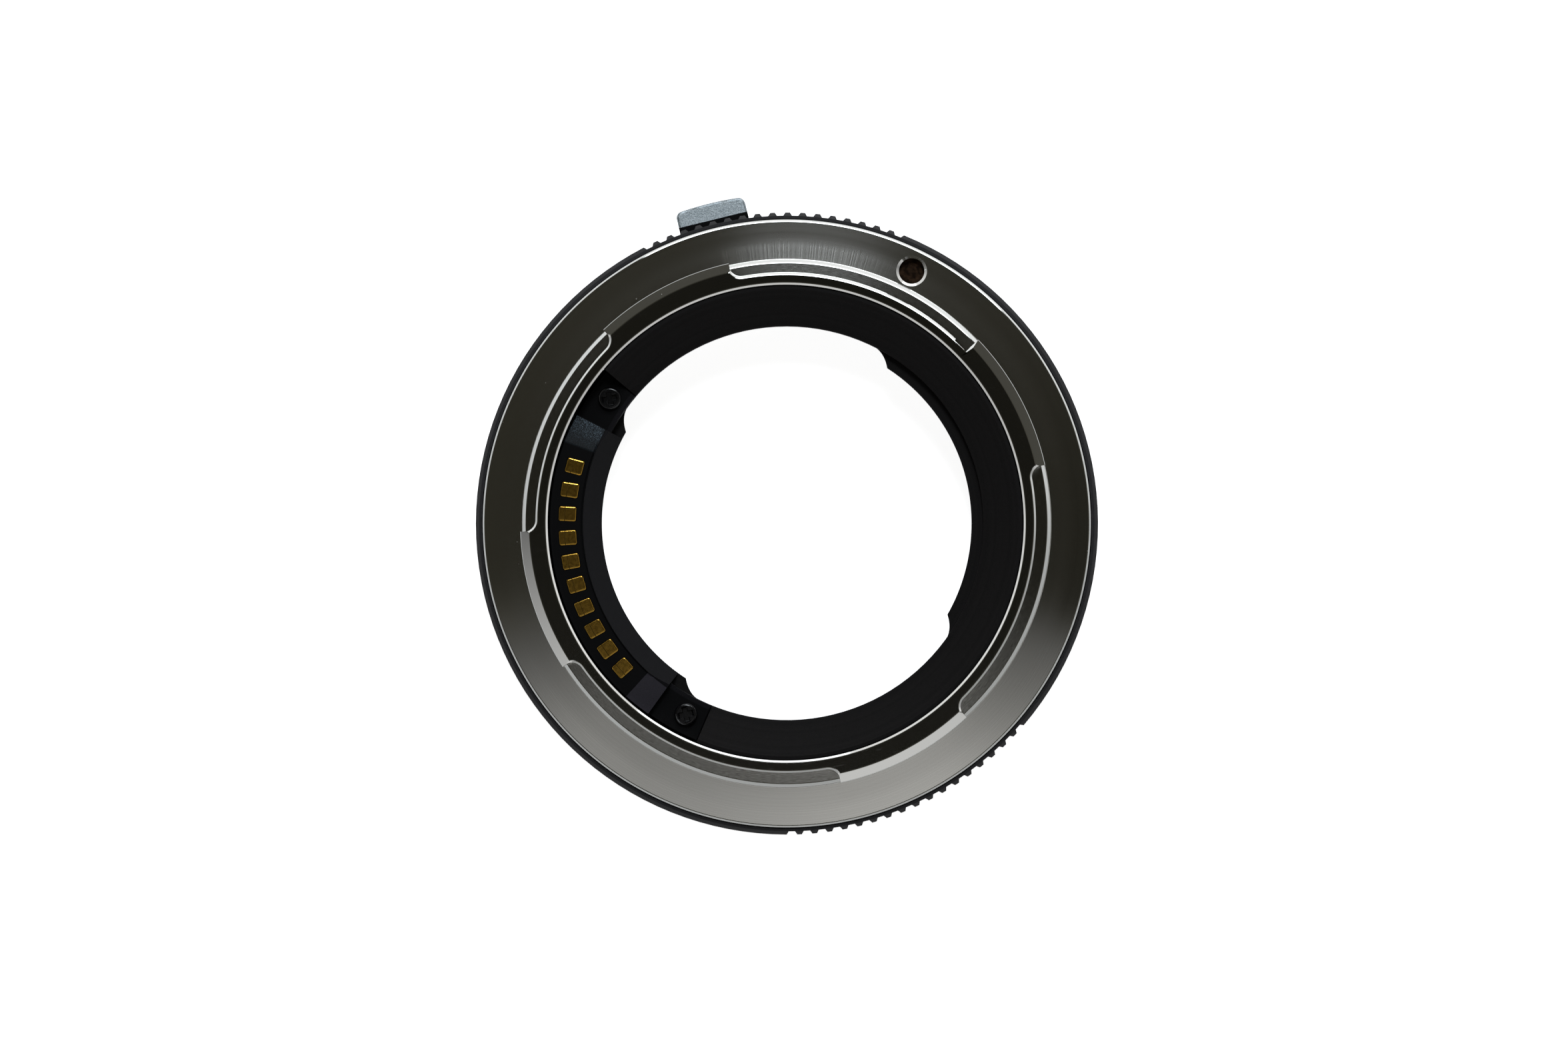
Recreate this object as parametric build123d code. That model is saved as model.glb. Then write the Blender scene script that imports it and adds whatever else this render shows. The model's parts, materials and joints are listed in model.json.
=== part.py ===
from build123d import *
import math
import os

os.makedirs("parts", exist_ok=True)

# Thin electronic adapter between a lens and a mirrorless camera body.
# Millimetres and degrees. z = 0 is the lens flange face and +Z points to the camera body.
# +Y is up in use; seen from the camera side, angles run counter-clockwise from +X.

# Heights along the optical axis
REGISTER = 7.8              # lens flange face to camera flange face
LENS_FLANGE_T = 1.6
SHIM_T = 0.15
CAMERA_FLANGE_T = 2.0
BODY_FRONT_SETBACK = 0.6    # body's front face behind the lens flange face
BODY_REAR_SETBACK = 0.45    # body's rear face below the camera flange face
BAYONET_RISE = 4.6          # bayonet rim above the camera flange face

# Clearances
SEAT_FIT = 0.08             # radial room round a piece that drops into a seat
SNUG_FIT = 0.03             # radial room round a shank, blade or peg
RUNNING_FIT = 0.05          # radial room round the sliding pin
GUIDE_FIT = 0.1             # room beside the sliding button

# Body ring and its two grip sections
BODY_R = 30.4
BODY_WALL = 7.9             # from the outside to the bore
BODY_CHAMFER = 0.35
RIB_PITCH_ANGLE = 2.8
RIB_COUNT = 17
RIB_DEPTH = 0.33
VALLEY_TOP_W = 1.04
VALLEY_FLOOR_W = 0.62
RIB_SECTION_ANGLE = 11.1    # each grip section's middle above the horizontal line

# Camera bayonet, from the body's edge inwards
FLANGE_INSET = 0.7          # body's edge that shows round the camera flange
FLANGE_FACE_W = 3.93
FLANGE_EDGE_CHAMFER = 0.22
COLLAR_W = 1.53             # pilot collar that centres the adapter in the camera's throat
COLLAR_RISE = 0.85
COLLAR_CHAMFER = 0.38
TUBE_WALL = 1.24
RIM_CHAMFER = 0.24
LUG_REACH = 1.48
LUG_ANGLE = 31.0
LUG_MIDDLE_ANGLES = (13.75, 104.3, 194.2, 273.75)
LUG_RISE = 2.1              # lug underside above the camera flange face
LUG_LEAD_IN_W = 0.92
LUG_LEAD_IN_DROP = 0.57
LUG_FILLET = 1.1
SQUARE_LUG = 1              # this lug's far end is cut square, as a stop
STOP_RELIEF_ANGLE = 3.6
STOP_RELIEF_DEPTH = 0.2
LOCK_HOLE_ANGLE = 139.9
LOCK_HOLE_INSET = 2.22      # hole's middle inside the flange's edge
LOCK_HOLE_R = 1.25
LOCK_HOLE_DEPTH = 1.3
LOCK_HOLE_CHAMFER = 0.25

# Lens bayonet, from the body's edge inwards
LENS_FLANGE_INSET = 2.4
LENS_FLANGE_W = 5.9         # from its edge to the throat between the tabs
LENS_FLANGE_CHAMFER = 0.25
TAB_COUNT = 4
TAB_REACH = 1.5
TAB_T = 1.3
TAB_ANGLE = 44.0
TAB_FIRST_ANGLE = 15.0
TAB_CHAMFER = 0.2
LUG_SPRING_T = 0.18
LUG_SPRING_BOW = 0.4
LUG_SPRING_W = 1.1
LUG_SPRING_END_ROOM = 1.8   # from the leaf's end to the tab's end
STOP_PIN_R = 0.6
STOP_PIN_REACH = 1.7
STOP_PIN_SEAT = 0.8
STOP_PIN_TAB = 3            # this tab carries the stop pin
STOP_PIN_END_ROOM = 0.9     # pin's middle from the tab's end
CODE_WINDOW_ANGLE = 302.0
CODE_WINDOW_SPAN_ANGLE = 14.0
CODE_WINDOW_INSET = 3.0     # window's middle inside the lens flange's edge
CODE_WINDOW_W = 2.8
CODE_WINDOW_SETBACK = 0.12

# Screws
LENS_SCREW_ANGLES = (30.0, 90.0, 150.0, 210.0, 270.0, 330.0)
LENS_SCREW_INSET = 2.4      # screws' middles inside the lens flange's edge
LENS_SCREW_R = 0.75
LENS_SCREW_HEAD_R = 1.5
LENS_SCREW_LENGTH = 4.2
CAMERA_SCREW_ANGLES = (20.0, 110.0, 225.0, 340.0)
CAMERA_SCREW_INSET = 3.3    # screws' middles inside the camera flange's edge
CAMERA_SCREW_R = 0.75
CAMERA_SCREW_HEAD_R = 1.3
CAMERA_SCREW_HEAD_H = 0.9
CAMERA_SCREW_BITE = 1.3     # how far the thread reaches into the flange
BLOCK_SCREW_ANGLES = (221.05, 318.7)
BLOCK_SCREW_INSET = 2.0     # screws' middles inside the tube's bore
BLOCK_SCREW_R = 0.5
BLOCK_SCREW_HEAD_R = 1.12
BLOCK_SCREW_HEAD_H = 0.6
CROSS_W = 0.34
CROSS_DEPTH = 0.35
CROSS_SHARE = 0.62          # cross's width against the head's
SCREW_HOLE_SPARE = 0.2      # hole goes on past the screw's end

# Light trap inside the camera bayonet
LINER_TOP_DROP = 0.35
LINER_LAND = 0.3
LINER_REACH = 3.8           # from the tube's bore to the waist
LINER_CONE_H = 3.35
LINER_LEDGE_RISE = 0.8      # ledge under the contact block, above the camera flange face
LINER_LEDGE_T = 1.0
LINER_SKIRT_GAP = 0.4       # between the skirt and the body's bore
LINER_SKIRT_T = 0.9
LINER_SKIRT_DROP = 1.9      # skirt's end below the camera flange's seat
LINER_FOOT_W = 2.0
LINER_FOOT_T = 0.58
BAFFLE_T = 0.6
BAFFLE_REACH = 1.15         # arcs inside the liner's waist
BAFFLE_SETBACK = 0.4        # clear opening outside the liner's waist
BAFFLE_ARC_ANGLE = 86.6
BAFFLE_FLARE_ANGLE = 3.4    # each arc end widens by this much at its root
BAFFLE_FILLET = 1.0

# Contact block
BLOCK_START_ANGLE = 216.4
BLOCK_END_ANGLE = 323.9
BLOCK_PLATE_T = 0.9
BLOCK_HEIGHT = 3.0
RAISED_START_ANGLE = 229.0
RAISED_END_ANGLE = 310.5
BLOCK_RAMP_ANGLE = 6.9
BLOCK_RAMP_DROP = 1.0
BLOCK_LIP_SETBACK = 0.48    # top's inner edge outside the liner's waist
BLOCK_LIP_W = 0.02
BLOCK_LIP_DROP = 0.1
BLOCK_SLIT_W = 0.18
BLOCK_SLIT_DEPTH = 0.3
BLOCK_APRON_SETBACK = 0.05  # apron's foot outside the baffle's arc
BLOCK_JOINT_GAP = 0.12
CONTACT_COUNT = 10
CONTACT_PITCH_ANGLE = 6.29
CONTACT_MIDDLE_ANGLE = 269.7
CONTACT_INSET = 1.85        # contacts' middles inside the tube's bore
CONTACT_LENGTH = 1.69
CONTACT_WIDTH = 1.45
CONTACT_CORNER = 0.2
CONTACT_T = 0.35
CONTACT_PROUD = 0.1
CONTACT_EDGE = 0.07
TAIL_LENGTH = 0.5
TAIL_WIDTH = 0.9

# Circuit
FLEX_START_ANGLE = 240.0
FLEX_END_ANGLE = 300.0
FLEX_ROOM_ANGLE = 1.0       # room beyond each end of the film
FLEX_T = 0.16
FLEX_ROOM = 0.08
FLEX_REACH = 0.55           # film inside the contacts' middles
FLEX_WALL_GAP = 0.12        # film inside the skirt's outside
FLEX_TONGUE_W = 1.8         # film outside the body's bore
FLEX_DROP = 1.6             # flat film below the camera flange's seat
SENSOR_SPAN_ANGLE = 18.0
SENSOR_W = 3.4
SENSOR_BOARD_T = 0.7
SENSOR_CHIP_T = 0.8
SENSOR_CHIP_W = 1.6
SENSOR_CHIP_SPAN_ANGLE = 12.0

# Release button and lock pin
BUTTON_ANGLE = 180.0
BUTTON_TRAVEL = 1.1
BUTTON_BASE_PROUD = 0.32    # black base outside the body
BUTTON_CAP_T = 1.66
BUTTON_W = 6.88
BUTTON_HEIGHT = 3.15
BUTTON_CORNER = 0.65
BUTTON_EDGE = 0.22
PEG_LENGTH = 0.8
PEG_W = 2.4
PEG_HEIGHT = 1.4
PIN_SETBACK = 2.9           # pin's middle outside the body's bore
PIN_R = 0.9
PIN_PROUD = 1.0
PIN_TIP_CHAMFER = 0.25
PIN_HEAD = 0.8              # pin above the cross pin's middle
DOWEL_R = 0.4
CAM_WALL = 0.4              # metal left round the cam slot
CAM_FIT = 0.04
CHEEK_T = 0.95
SHOULDER_T = 0.9
SHOULDER_W = 8.4
POCKET_ROOF = 0.6
RETURN_SPRING_INSET = 1.0   # springs' middles inside the shoulder's ends
RETURN_SPRING_R = 0.63
RETURN_SPRING_WIRE_R = 0.12
RETURN_SPRING_TURNS = 5.0

# Index dots
DOT_DEPTH = 0.5
CAMERA_DOT_R = 0.9
CAMERA_DOT_ANGLE = 90.0
CAMERA_DOT_DROP = 1.95      # dot's middle below the body's rear face
LENS_DOT_R = 0.65
LENS_DOT_ANGLE = 60.0

# Radii that follow from the sizes above
BODY_BORE_R = BODY_R - BODY_WALL
CAMERA_FLANGE_R = BODY_R - FLANGE_INSET
COLLAR_R = CAMERA_FLANGE_R - FLANGE_FACE_W
TUBE_R = COLLAR_R - COLLAR_W
TUBE_BORE_R = TUBE_R - TUBE_WALL
LUG_R = TUBE_R + LUG_REACH
LOCK_HOLE_CENTRE_R = CAMERA_FLANGE_R - LOCK_HOLE_INSET
LENS_FLANGE_R = BODY_R - LENS_FLANGE_INSET
THROAT_R = LENS_FLANGE_R - LENS_FLANGE_W
TAB_R = THROAT_R - TAB_REACH
TAB_MIDDLE_R = (TAB_R + THROAT_R) / 2
LUG_SPRING_LENGTH = 2 * (TAB_MIDDLE_R * math.sin(math.radians(TAB_ANGLE / 2)) - LUG_SPRING_END_ROOM)
CODE_WINDOW_R = LENS_FLANGE_R - CODE_WINDOW_INSET
LENS_SCREW_CIRCLE_R = LENS_FLANGE_R - LENS_SCREW_INSET
CAMERA_SCREW_CIRCLE_R = CAMERA_FLANGE_R - CAMERA_SCREW_INSET
BLOCK_SCREW_CIRCLE_R = TUBE_BORE_R - BLOCK_SCREW_INSET
LENS_SEAT_R = LENS_FLANGE_R + SEAT_FIT
CAMERA_SEAT_R = CAMERA_FLANGE_R + SEAT_FIT
LINER_R = TUBE_BORE_R - SEAT_FIT
LINER_WAIST_R = TUBE_BORE_R - LINER_REACH
LINER_SKIRT_R = BODY_BORE_R - LINER_SKIRT_GAP
SKIRT_BORE_R = LINER_SKIRT_R - LINER_SKIRT_T
LINER_FOOT_R = BODY_BORE_R + LINER_FOOT_W
BAFFLE_ARC_R = LINER_WAIST_R - BAFFLE_REACH
BAFFLE_CLEAR_R = LINER_WAIST_R + BAFFLE_SETBACK
BLOCK_R = TUBE_BORE_R - 2 * SEAT_FIT
BLOCK_LIP_R = LINER_WAIST_R + BLOCK_LIP_SETBACK
BLOCK_APRON_R = BAFFLE_ARC_R + BLOCK_APRON_SETBACK
CONTACT_R = TUBE_BORE_R - CONTACT_INSET
FLEX_INNER_R = CONTACT_R - FLEX_REACH
FLEX_WALL_R = LINER_SKIRT_R - FLEX_WALL_GAP
FLEX_GROOVE_R = FLEX_WALL_R - FLEX_T - FLEX_ROOM
FLEX_OUTER_R = BODY_BORE_R + FLEX_TONGUE_W
BUTTON_BASE_R = BODY_R + BUTTON_BASE_PROUD
BUTTON_R = BUTTON_BASE_R + BUTTON_CAP_T
PIN_CENTRE_R = BODY_BORE_R + PIN_SETBACK

# Levels along the axis that follow
LENS_SEAT_Z = LENS_FLANGE_T + SHIM_T
CAMERA_SEAT_Z = REGISTER - CAMERA_FLANGE_T
BODY_FRONT_Z = BODY_FRONT_SETBACK
BODY_REAR_Z = REGISTER - BODY_REAR_SETBACK
RIM_Z = REGISTER + BAYONET_RISE
LUG_Z = REGISTER + LUG_RISE
COLLAR_Z = REGISTER + COLLAR_RISE
LINER_TOP_Z = RIM_Z - LINER_TOP_DROP
LEDGE_Z = REGISTER + LINER_LEDGE_RISE
LEDGE_UNDER_Z = LEDGE_Z - LINER_LEDGE_T
FOOT_SEAT_Z = CAMERA_SEAT_Z - LINER_FOOT_T
SKIRT_END_Z = CAMERA_SEAT_Z - LINER_SKIRT_DROP
FLEX_Z = CAMERA_SEAT_Z - FLEX_DROP
PLATE_Z = LEDGE_Z + BLOCK_PLATE_T
BLOCK_TOP_Z = LEDGE_Z + BLOCK_HEIGHT
CONTACT_TOP_Z = BLOCK_TOP_Z + CONTACT_PROUD
SLIDE_Z = LENS_SEAT_Z + GUIDE_FIT
SLIDE_TOP_Z = SLIDE_Z + BUTTON_HEIGHT
POCKET_Z = CAMERA_SEAT_Z - POCKET_ROOF
CAMERA_DOT_Z = BODY_REAR_Z - CAMERA_DOT_DROP

# Lock mechanism
CAM_R = DOWEL_R + CAM_FIT
PIN_LIFT = BUTTON_TRAVEL    # the cam slots slope at 45 degrees
DOWEL_Z = SLIDE_Z + CAM_WALL + CAM_R
CHEEK_TOP_Z = DOWEL_Z + PIN_LIFT + CAM_R + CAM_WALL
FORK_END_R = PIN_CENTRE_R - CAM_R - CAM_WALL
SHOULDER_R = PIN_CENTRE_R + BUTTON_TRAVEL + max(CAM_R + CAM_WALL, PIN_R + GUIDE_FIT)
NECK_R = SHOULDER_R + SHOULDER_T
POCKET_INNER_R = FORK_END_R - BUTTON_TRAVEL - GUIDE_FIT
POCKET_OUTER_R = NECK_R + RUNNING_FIT
CHEEK_Y = PIN_R + GUIDE_FIT
RETURN_SPRING_Y = SHOULDER_W / 2 - RETURN_SPRING_INSET

# Modelling aids
BEYOND = 5.0                # cutters run past the faces by this much
RAMP_OVERRUN = 1.2          # ramp cutters are this much larger than the ramp
SAME_PLACE = 0.01           # points closer than this are one point


def turned(points):
    """Revolve a closed (radius, z) outline about the optical axis."""
    return revolve(Plane.XZ * make_face(Polyline(points, close=True)), Axis.Z)


def disc(radius, z0, z1):
    """Round slab about the optical axis."""
    return extrude(Pos(0, 0, z0) * Circle(radius), z1 - z0)


def sector_face(r_in, r_out, start, end):
    """Flat ring sector between two radii and two angles."""
    outer = CenterArc((0, 0), r_out, start, end - start)
    inner = CenterArc((0, 0), r_in, start, end - start)
    return make_face([outer, inner, Line(inner @ 0, outer @ 0), Line(inner @ 1, outer @ 1)])


def sector(r_in, r_out, start, end, z0, z1):
    """Solid ring sector between two heights."""
    return extrude(Pos(0, 0, z0) * sector_face(r_in, r_out, start, end), z1 - z0)


def at(angle, radius=0.0, z=0.0):
    """Location on a circle, with local +X pointing away from the optical axis."""
    return Rot(0, 0, angle) * Pos(radius, 0, z)


def post(radius, z0, z1, angle, circle_r):
    """Round post or hole parallel to the optical axis."""
    return at(angle, circle_r, z0) * extrude(Circle(radius), z1 - z0)


def block(x0, x1, y0, y1, z0, z1):
    """Box given by its limits."""
    return Pos((x0 + x1) / 2, (y0 + y1) / 2, (z0 + z1) / 2) * Box(x1 - x0, y1 - y0, z1 - z0)


def corners_on(plan, radius):
    """Corners of a flat outline that lie on one circle about the optical axis."""
    return [v for v in plan.vertices() if abs(math.hypot(v.X, v.Y) - radius) < SAME_PLACE]


def cross_recess(head_r):
    """Cutter for a cross drive, sunk from z = 0 downwards."""
    arm = CROSS_SHARE * head_r
    return block(-arm, arm, -CROSS_W / 2, CROSS_W / 2, -CROSS_DEPTH, BEYOND) + block(
        -CROSS_W / 2, CROSS_W / 2, -arm, arm, -CROSS_DEPTH, BEYOND
    )


# Body ring


def rib_valley(angle):
    """Trapezoid groove along the full width of the grip."""
    floor_r = BODY_R - RIB_DEPTH
    slope = (VALLEY_TOP_W - VALLEY_FLOOR_W) / 2 / RIB_DEPTH
    outer_r = BODY_R + RIB_DEPTH
    half_outer = VALLEY_FLOOR_W / 2 + slope * (outer_r - floor_r)
    outline = Polyline(
        (floor_r, -VALLEY_FLOOR_W / 2),
        (outer_r, -half_outer),
        (outer_r, half_outer),
        (floor_r, VALLEY_FLOOR_W / 2),
        close=True,
    )
    return Rot(0, 0, angle) * extrude(make_face(outline), REGISTER)


def rib_angles():
    """Valley angles of both grip sections; there is one valley more than ribs."""
    first = -RIB_PITCH_ANGLE * RIB_COUNT / 2
    middles = (RIB_SECTION_ANGLE, 180.0 - RIB_SECTION_ANGLE)
    return [middle + first + RIB_PITCH_ANGLE * i for middle in middles for i in range(RIB_COUNT + 1)]


def button_pocket():
    """Room for the sliding fork and its springs, and the slot that the button comes out of."""
    half = SHOULDER_W / 2 + GUIDE_FIT
    slot_half = BUTTON_W / 2 + GUIDE_FIT
    room = block(POCKET_INNER_R, POCKET_OUTER_R, -half, half, LENS_SEAT_Z, POCKET_Z)
    slot = block(
        POCKET_OUTER_R - GUIDE_FIT,
        BODY_R + BEYOND,
        -slot_half,
        slot_half,
        SLIDE_Z - GUIDE_FIT,
        SLIDE_TOP_Z + GUIDE_FIT,
    )
    return at(BUTTON_ANGLE) * (room + slot)


def make_body_ring():
    c = BODY_CHAMFER
    ring = turned([
        (BODY_BORE_R, LENS_SEAT_Z),
        (LENS_SEAT_R, LENS_SEAT_Z),
        (LENS_SEAT_R, BODY_FRONT_Z),
        (BODY_R - c, BODY_FRONT_Z),
        (BODY_R, BODY_FRONT_Z + c),
        (BODY_R, BODY_REAR_Z - c),
        (BODY_R - c, BODY_REAR_Z),
        (CAMERA_SEAT_R, BODY_REAR_Z),
        (CAMERA_SEAT_R, CAMERA_SEAT_Z),
        (LINER_FOOT_R + SEAT_FIT, CAMERA_SEAT_Z),
        (LINER_FOOT_R + SEAT_FIT, FOOT_SEAT_Z),
        (BODY_BORE_R, FOOT_SEAT_Z),
    ])
    cuts = [rib_valley(angle) for angle in rib_angles()]
    cuts.append(button_pocket())
    for angle in LENS_SCREW_ANGLES:
        depth = LENS_SCREW_LENGTH + SCREW_HOLE_SPARE
        cuts.append(post(LENS_SCREW_R + SNUG_FIT, 0, depth, angle, LENS_SCREW_CIRCLE_R))
    for angle in CAMERA_SCREW_ANGLES:
        circle_r = CAMERA_SCREW_CIRCLE_R
        cuts.append(post(CAMERA_SCREW_R + SNUG_FIT, 0, REGISTER, angle, circle_r))
        head_z = LENS_SEAT_Z + CAMERA_SCREW_HEAD_H
        cuts.append(post(CAMERA_SCREW_HEAD_R + SEAT_FIT, 0, head_z, angle, circle_r))
    sensor_end = CODE_WINDOW_ANGLE + SENSOR_SPAN_ANGLE / 2
    flex_top = FLEX_Z + FLEX_T + FLEX_ROOM
    cuts.append(sector(
        BODY_BORE_R - BEYOND,
        FLEX_OUTER_R + SEAT_FIT,
        FLEX_START_ANGLE - FLEX_ROOM_ANGLE,
        sensor_end,
        FLEX_Z - FLEX_ROOM,
        flex_top,
    ))
    cuts.append(sensor_room(SEAT_FIT, LENS_SEAT_Z, flex_top))
    cuts.append(camera_dot_plug(CAMERA_DOT_R + SNUG_FIT))
    cuts.append(post(
        LENS_DOT_R + SNUG_FIT,
        BODY_FRONT_Z - BEYOND,
        BODY_FRONT_Z + DOT_DEPTH,
        LENS_DOT_ANGLE,
        lens_dot_circle_r(),
    ))
    return ring - cuts


# Camera side bayonet


def lug_outline(index):
    """One lug in plan, from inside the tube wall to the lug's outer radius."""
    half = LUG_ANGLE / 2
    centre = LUG_MIDDLE_ANGLES[index]
    return sector_face(TUBE_BORE_R, LUG_R, centre - half, centre + half)


def rim_outline():
    """Tube and lugs in plan, with a milling cutter's radius in each inner corner."""
    plan = Circle(TUBE_R) + [lug_outline(i) for i in range(len(LUG_MIDDLE_ANGLES))]
    square_end = LUG_MIDDLE_ANGLES[SQUARE_LUG] + LUG_ANGLE / 2
    square_corner = Vector(TUBE_R, 0).rotate(Axis.Z, square_end)
    corners = corners_on(plan, TUBE_R)
    milled = [v for v in corners if (v.center() - square_corner).length > SAME_PLACE]
    return fillet(milled, LUG_FILLET)


def make_lugs():
    """Lug storey of the tube: chamfered along its top edge, with a lead-in cone on the lugs."""
    storey = extrude(Pos(0, 0, LUG_Z) * rim_outline(), RIM_Z - LUG_Z)
    top = storey.faces().sort_by(Axis.Z)[-1]
    storey = chamfer(top.outer_wire().edges(), RIM_CHAMFER)
    slope = LUG_LEAD_IN_DROP / LUG_LEAD_IN_W
    lead_in = turned([
        (0, LUG_Z),
        (LUG_R + RIM_CHAMFER, LUG_Z),
        (LUG_R + RIM_CHAMFER, RIM_Z - LUG_LEAD_IN_DROP - slope * RIM_CHAMFER),
        (LUG_R - LUG_LEAD_IN_W, RIM_Z),
        (0, RIM_Z),
    ])
    return storey & lead_in


def make_camera_bayonet():
    c = FLANGE_EDGE_CHAMFER
    base = turned([
        (TUBE_BORE_R, CAMERA_SEAT_Z),
        (CAMERA_FLANGE_R, CAMERA_SEAT_Z),
        (CAMERA_FLANGE_R, REGISTER - c),
        (CAMERA_FLANGE_R - c, REGISTER),
        (COLLAR_R, REGISTER),
        (COLLAR_R, COLLAR_Z - COLLAR_CHAMFER),
        (COLLAR_R - COLLAR_CHAMFER, COLLAR_Z),
        (TUBE_R, COLLAR_Z),
        (TUBE_R, LUG_Z),
        (TUBE_BORE_R, LUG_Z),
    ])
    bore = turned([
        (0, CAMERA_SEAT_Z),
        (TUBE_BORE_R, CAMERA_SEAT_Z),
        (TUBE_BORE_R, RIM_Z - RIM_CHAMFER),
        (TUBE_BORE_R + RIM_CHAMFER, RIM_Z),
        (0, RIM_Z),
    ])
    relief_start = LUG_MIDDLE_ANGLES[SQUARE_LUG] + LUG_ANGLE / 2
    relief = sector(
        TUBE_R - STOP_RELIEF_DEPTH,
        LUG_R + BEYOND,
        relief_start,
        relief_start + STOP_RELIEF_ANGLE,
        LUG_Z,
        RIM_Z,
    )
    hole_floor = REGISTER - LOCK_HOLE_DEPTH
    mouth_r = LOCK_HOLE_R + LOCK_HOLE_CHAMFER
    hole = at(LOCK_HOLE_ANGLE, LOCK_HOLE_CENTRE_R) * turned([
        (0, hole_floor),
        (LOCK_HOLE_R, hole_floor),
        (LOCK_HOLE_R, REGISTER - LOCK_HOLE_CHAMFER),
        (mouth_r, REGISTER),
        (0, REGISTER),
    ])
    cuts = [bore, relief, hole]
    screw_end = CAMERA_SEAT_Z + CAMERA_SCREW_BITE + SCREW_HOLE_SPARE
    for angle in CAMERA_SCREW_ANGLES:
        radius = CAMERA_SCREW_R + SNUG_FIT
        cuts.append(post(radius, CAMERA_SEAT_Z, screw_end, angle, CAMERA_SCREW_CIRCLE_R))
    return base + make_lugs() - cuts


def make_camera_screws():
    """Cheese-head screws, put in from the lens side before the lens bayonet covers them."""
    screws = []
    head_z = LENS_SEAT_Z + CAMERA_SCREW_HEAD_H
    for angle in CAMERA_SCREW_ANGLES:
        place = (angle, CAMERA_SCREW_CIRCLE_R)
        head = post(CAMERA_SCREW_HEAD_R, LENS_SEAT_Z, head_z, *place)
        shank = post(CAMERA_SCREW_R, LENS_SEAT_Z, CAMERA_SEAT_Z + CAMERA_SCREW_BITE, *place)
        drive = at(angle, CAMERA_SCREW_CIRCLE_R, LENS_SEAT_Z) * (
            Rot(180, 0, 0) * cross_recess(CAMERA_SCREW_HEAD_R)
        )
        screws.append(head + shank - drive)
    return Compound(screws)


# Light trap


def make_rear_liner():
    """Black cone inside the bayonet tube, with a foot clamped under the camera bayonet."""
    cone_z = LINER_TOP_Z - LINER_CONE_H
    ring = turned([
        (LINER_R, LINER_TOP_Z),
        (LINER_R - LINER_LAND, LINER_TOP_Z),
        (LINER_WAIST_R, cone_z),
        (LINER_WAIST_R, LEDGE_UNDER_Z),
        (SKIRT_BORE_R, LEDGE_UNDER_Z),
        (SKIRT_BORE_R, SKIRT_END_Z),
        (LINER_SKIRT_R, SKIRT_END_Z),
        (LINER_SKIRT_R, FOOT_SEAT_Z),
        (LINER_FOOT_R, FOOT_SEAT_Z),
        (LINER_FOOT_R, CAMERA_SEAT_Z),
        (LINER_R, CAMERA_SEAT_Z),
    ])
    gap = math.degrees(BLOCK_JOINT_GAP / LINER_WAIST_R)
    cuts = [sector(
        LINER_WAIST_R - BEYOND, TUBE_R, BLOCK_START_ANGLE - gap, BLOCK_END_ANGLE + gap, LEDGE_Z, RIM_Z
    )]
    start = FLEX_START_ANGLE - FLEX_ROOM_ANGLE
    end = FLEX_END_ANGLE + FLEX_ROOM_ANGLE
    film_z = LEDGE_Z - FLEX_T - FLEX_ROOM
    cuts.append(sector(FLEX_GROOVE_R, LINER_SKIRT_R + SNUG_FIT, start, end, SKIRT_END_Z, LEDGE_Z))
    cuts.append(sector(FLEX_INNER_R - FLEX_ROOM, LINER_SKIRT_R, start, end, film_z, LEDGE_Z))
    for angle in BLOCK_SCREW_ANGLES:
        radius = BLOCK_SCREW_R + SNUG_FIT
        cuts.append(post(radius, LEDGE_UNDER_Z, LEDGE_Z, angle, BLOCK_SCREW_CIRCLE_R))
    return ring - cuts


def baffle_arc(middle):
    """One inward arc of the baffle; its ends flare out to the ring in a milled curve."""
    half = BAFFLE_ARC_ANGLE / 2
    root_r = BAFFLE_CLEAR_R + BAFFLE_T
    tips = CenterArc((0, 0), BAFFLE_ARC_R, middle - half, 2 * half)
    roots = CenterArc((0, 0), root_r, middle - half - BAFFLE_FLARE_ANGLE, 2 * (half + BAFFLE_FLARE_ANGLE))
    return make_face([tips, roots, Line(tips @ 0, roots @ 0), Line(tips @ 1, roots @ 1)])


def make_light_baffle():
    """Thin mask under the liner that narrows the light path above and below."""
    outer_r = SKIRT_BORE_R - SEAT_FIT
    plate = Circle(outer_r) - Circle(BAFFLE_CLEAR_R) + [baffle_arc(90), baffle_arc(270)]
    plate = fillet(corners_on(plate, BAFFLE_CLEAR_R), BAFFLE_FILLET)
    return extrude(Pos(0, 0, LEDGE_UNDER_Z - BAFFLE_T) * plate, BAFFLE_T)


# Contact block and its contacts


def contact_angles():
    first = CONTACT_MIDDLE_ANGLE - CONTACT_PITCH_ANGLE * (CONTACT_COUNT - 1) / 2
    return [first + CONTACT_PITCH_ANGLE * i for i in range(CONTACT_COUNT)]


def contact_shape(grow):
    """Pad with a tail that runs down through the block, at radius CONTACT_R on local +X."""
    pad = RectangleRounded(CONTACT_LENGTH + 2 * grow, CONTACT_WIDTH + 2 * grow, CONTACT_CORNER)
    pad_z = CONTACT_TOP_Z - CONTACT_T - grow
    solid = extrude(Pos(CONTACT_R, 0, pad_z) * pad, CONTACT_T + grow)
    half_l = TAIL_LENGTH / 2 + grow
    half_w = TAIL_WIDTH / 2 + grow
    tail = block(CONTACT_R - half_l, CONTACT_R + half_l, -half_w, half_w, LEDGE_Z - grow, pad_z + grow)
    return solid + tail


def make_contact(angle):
    contact = contact_shape(0)
    top = contact.faces().sort_by(Axis.Z)[-1]
    return Rot(0, 0, angle) * fillet(top.edges(), CONTACT_EDGE)


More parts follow.
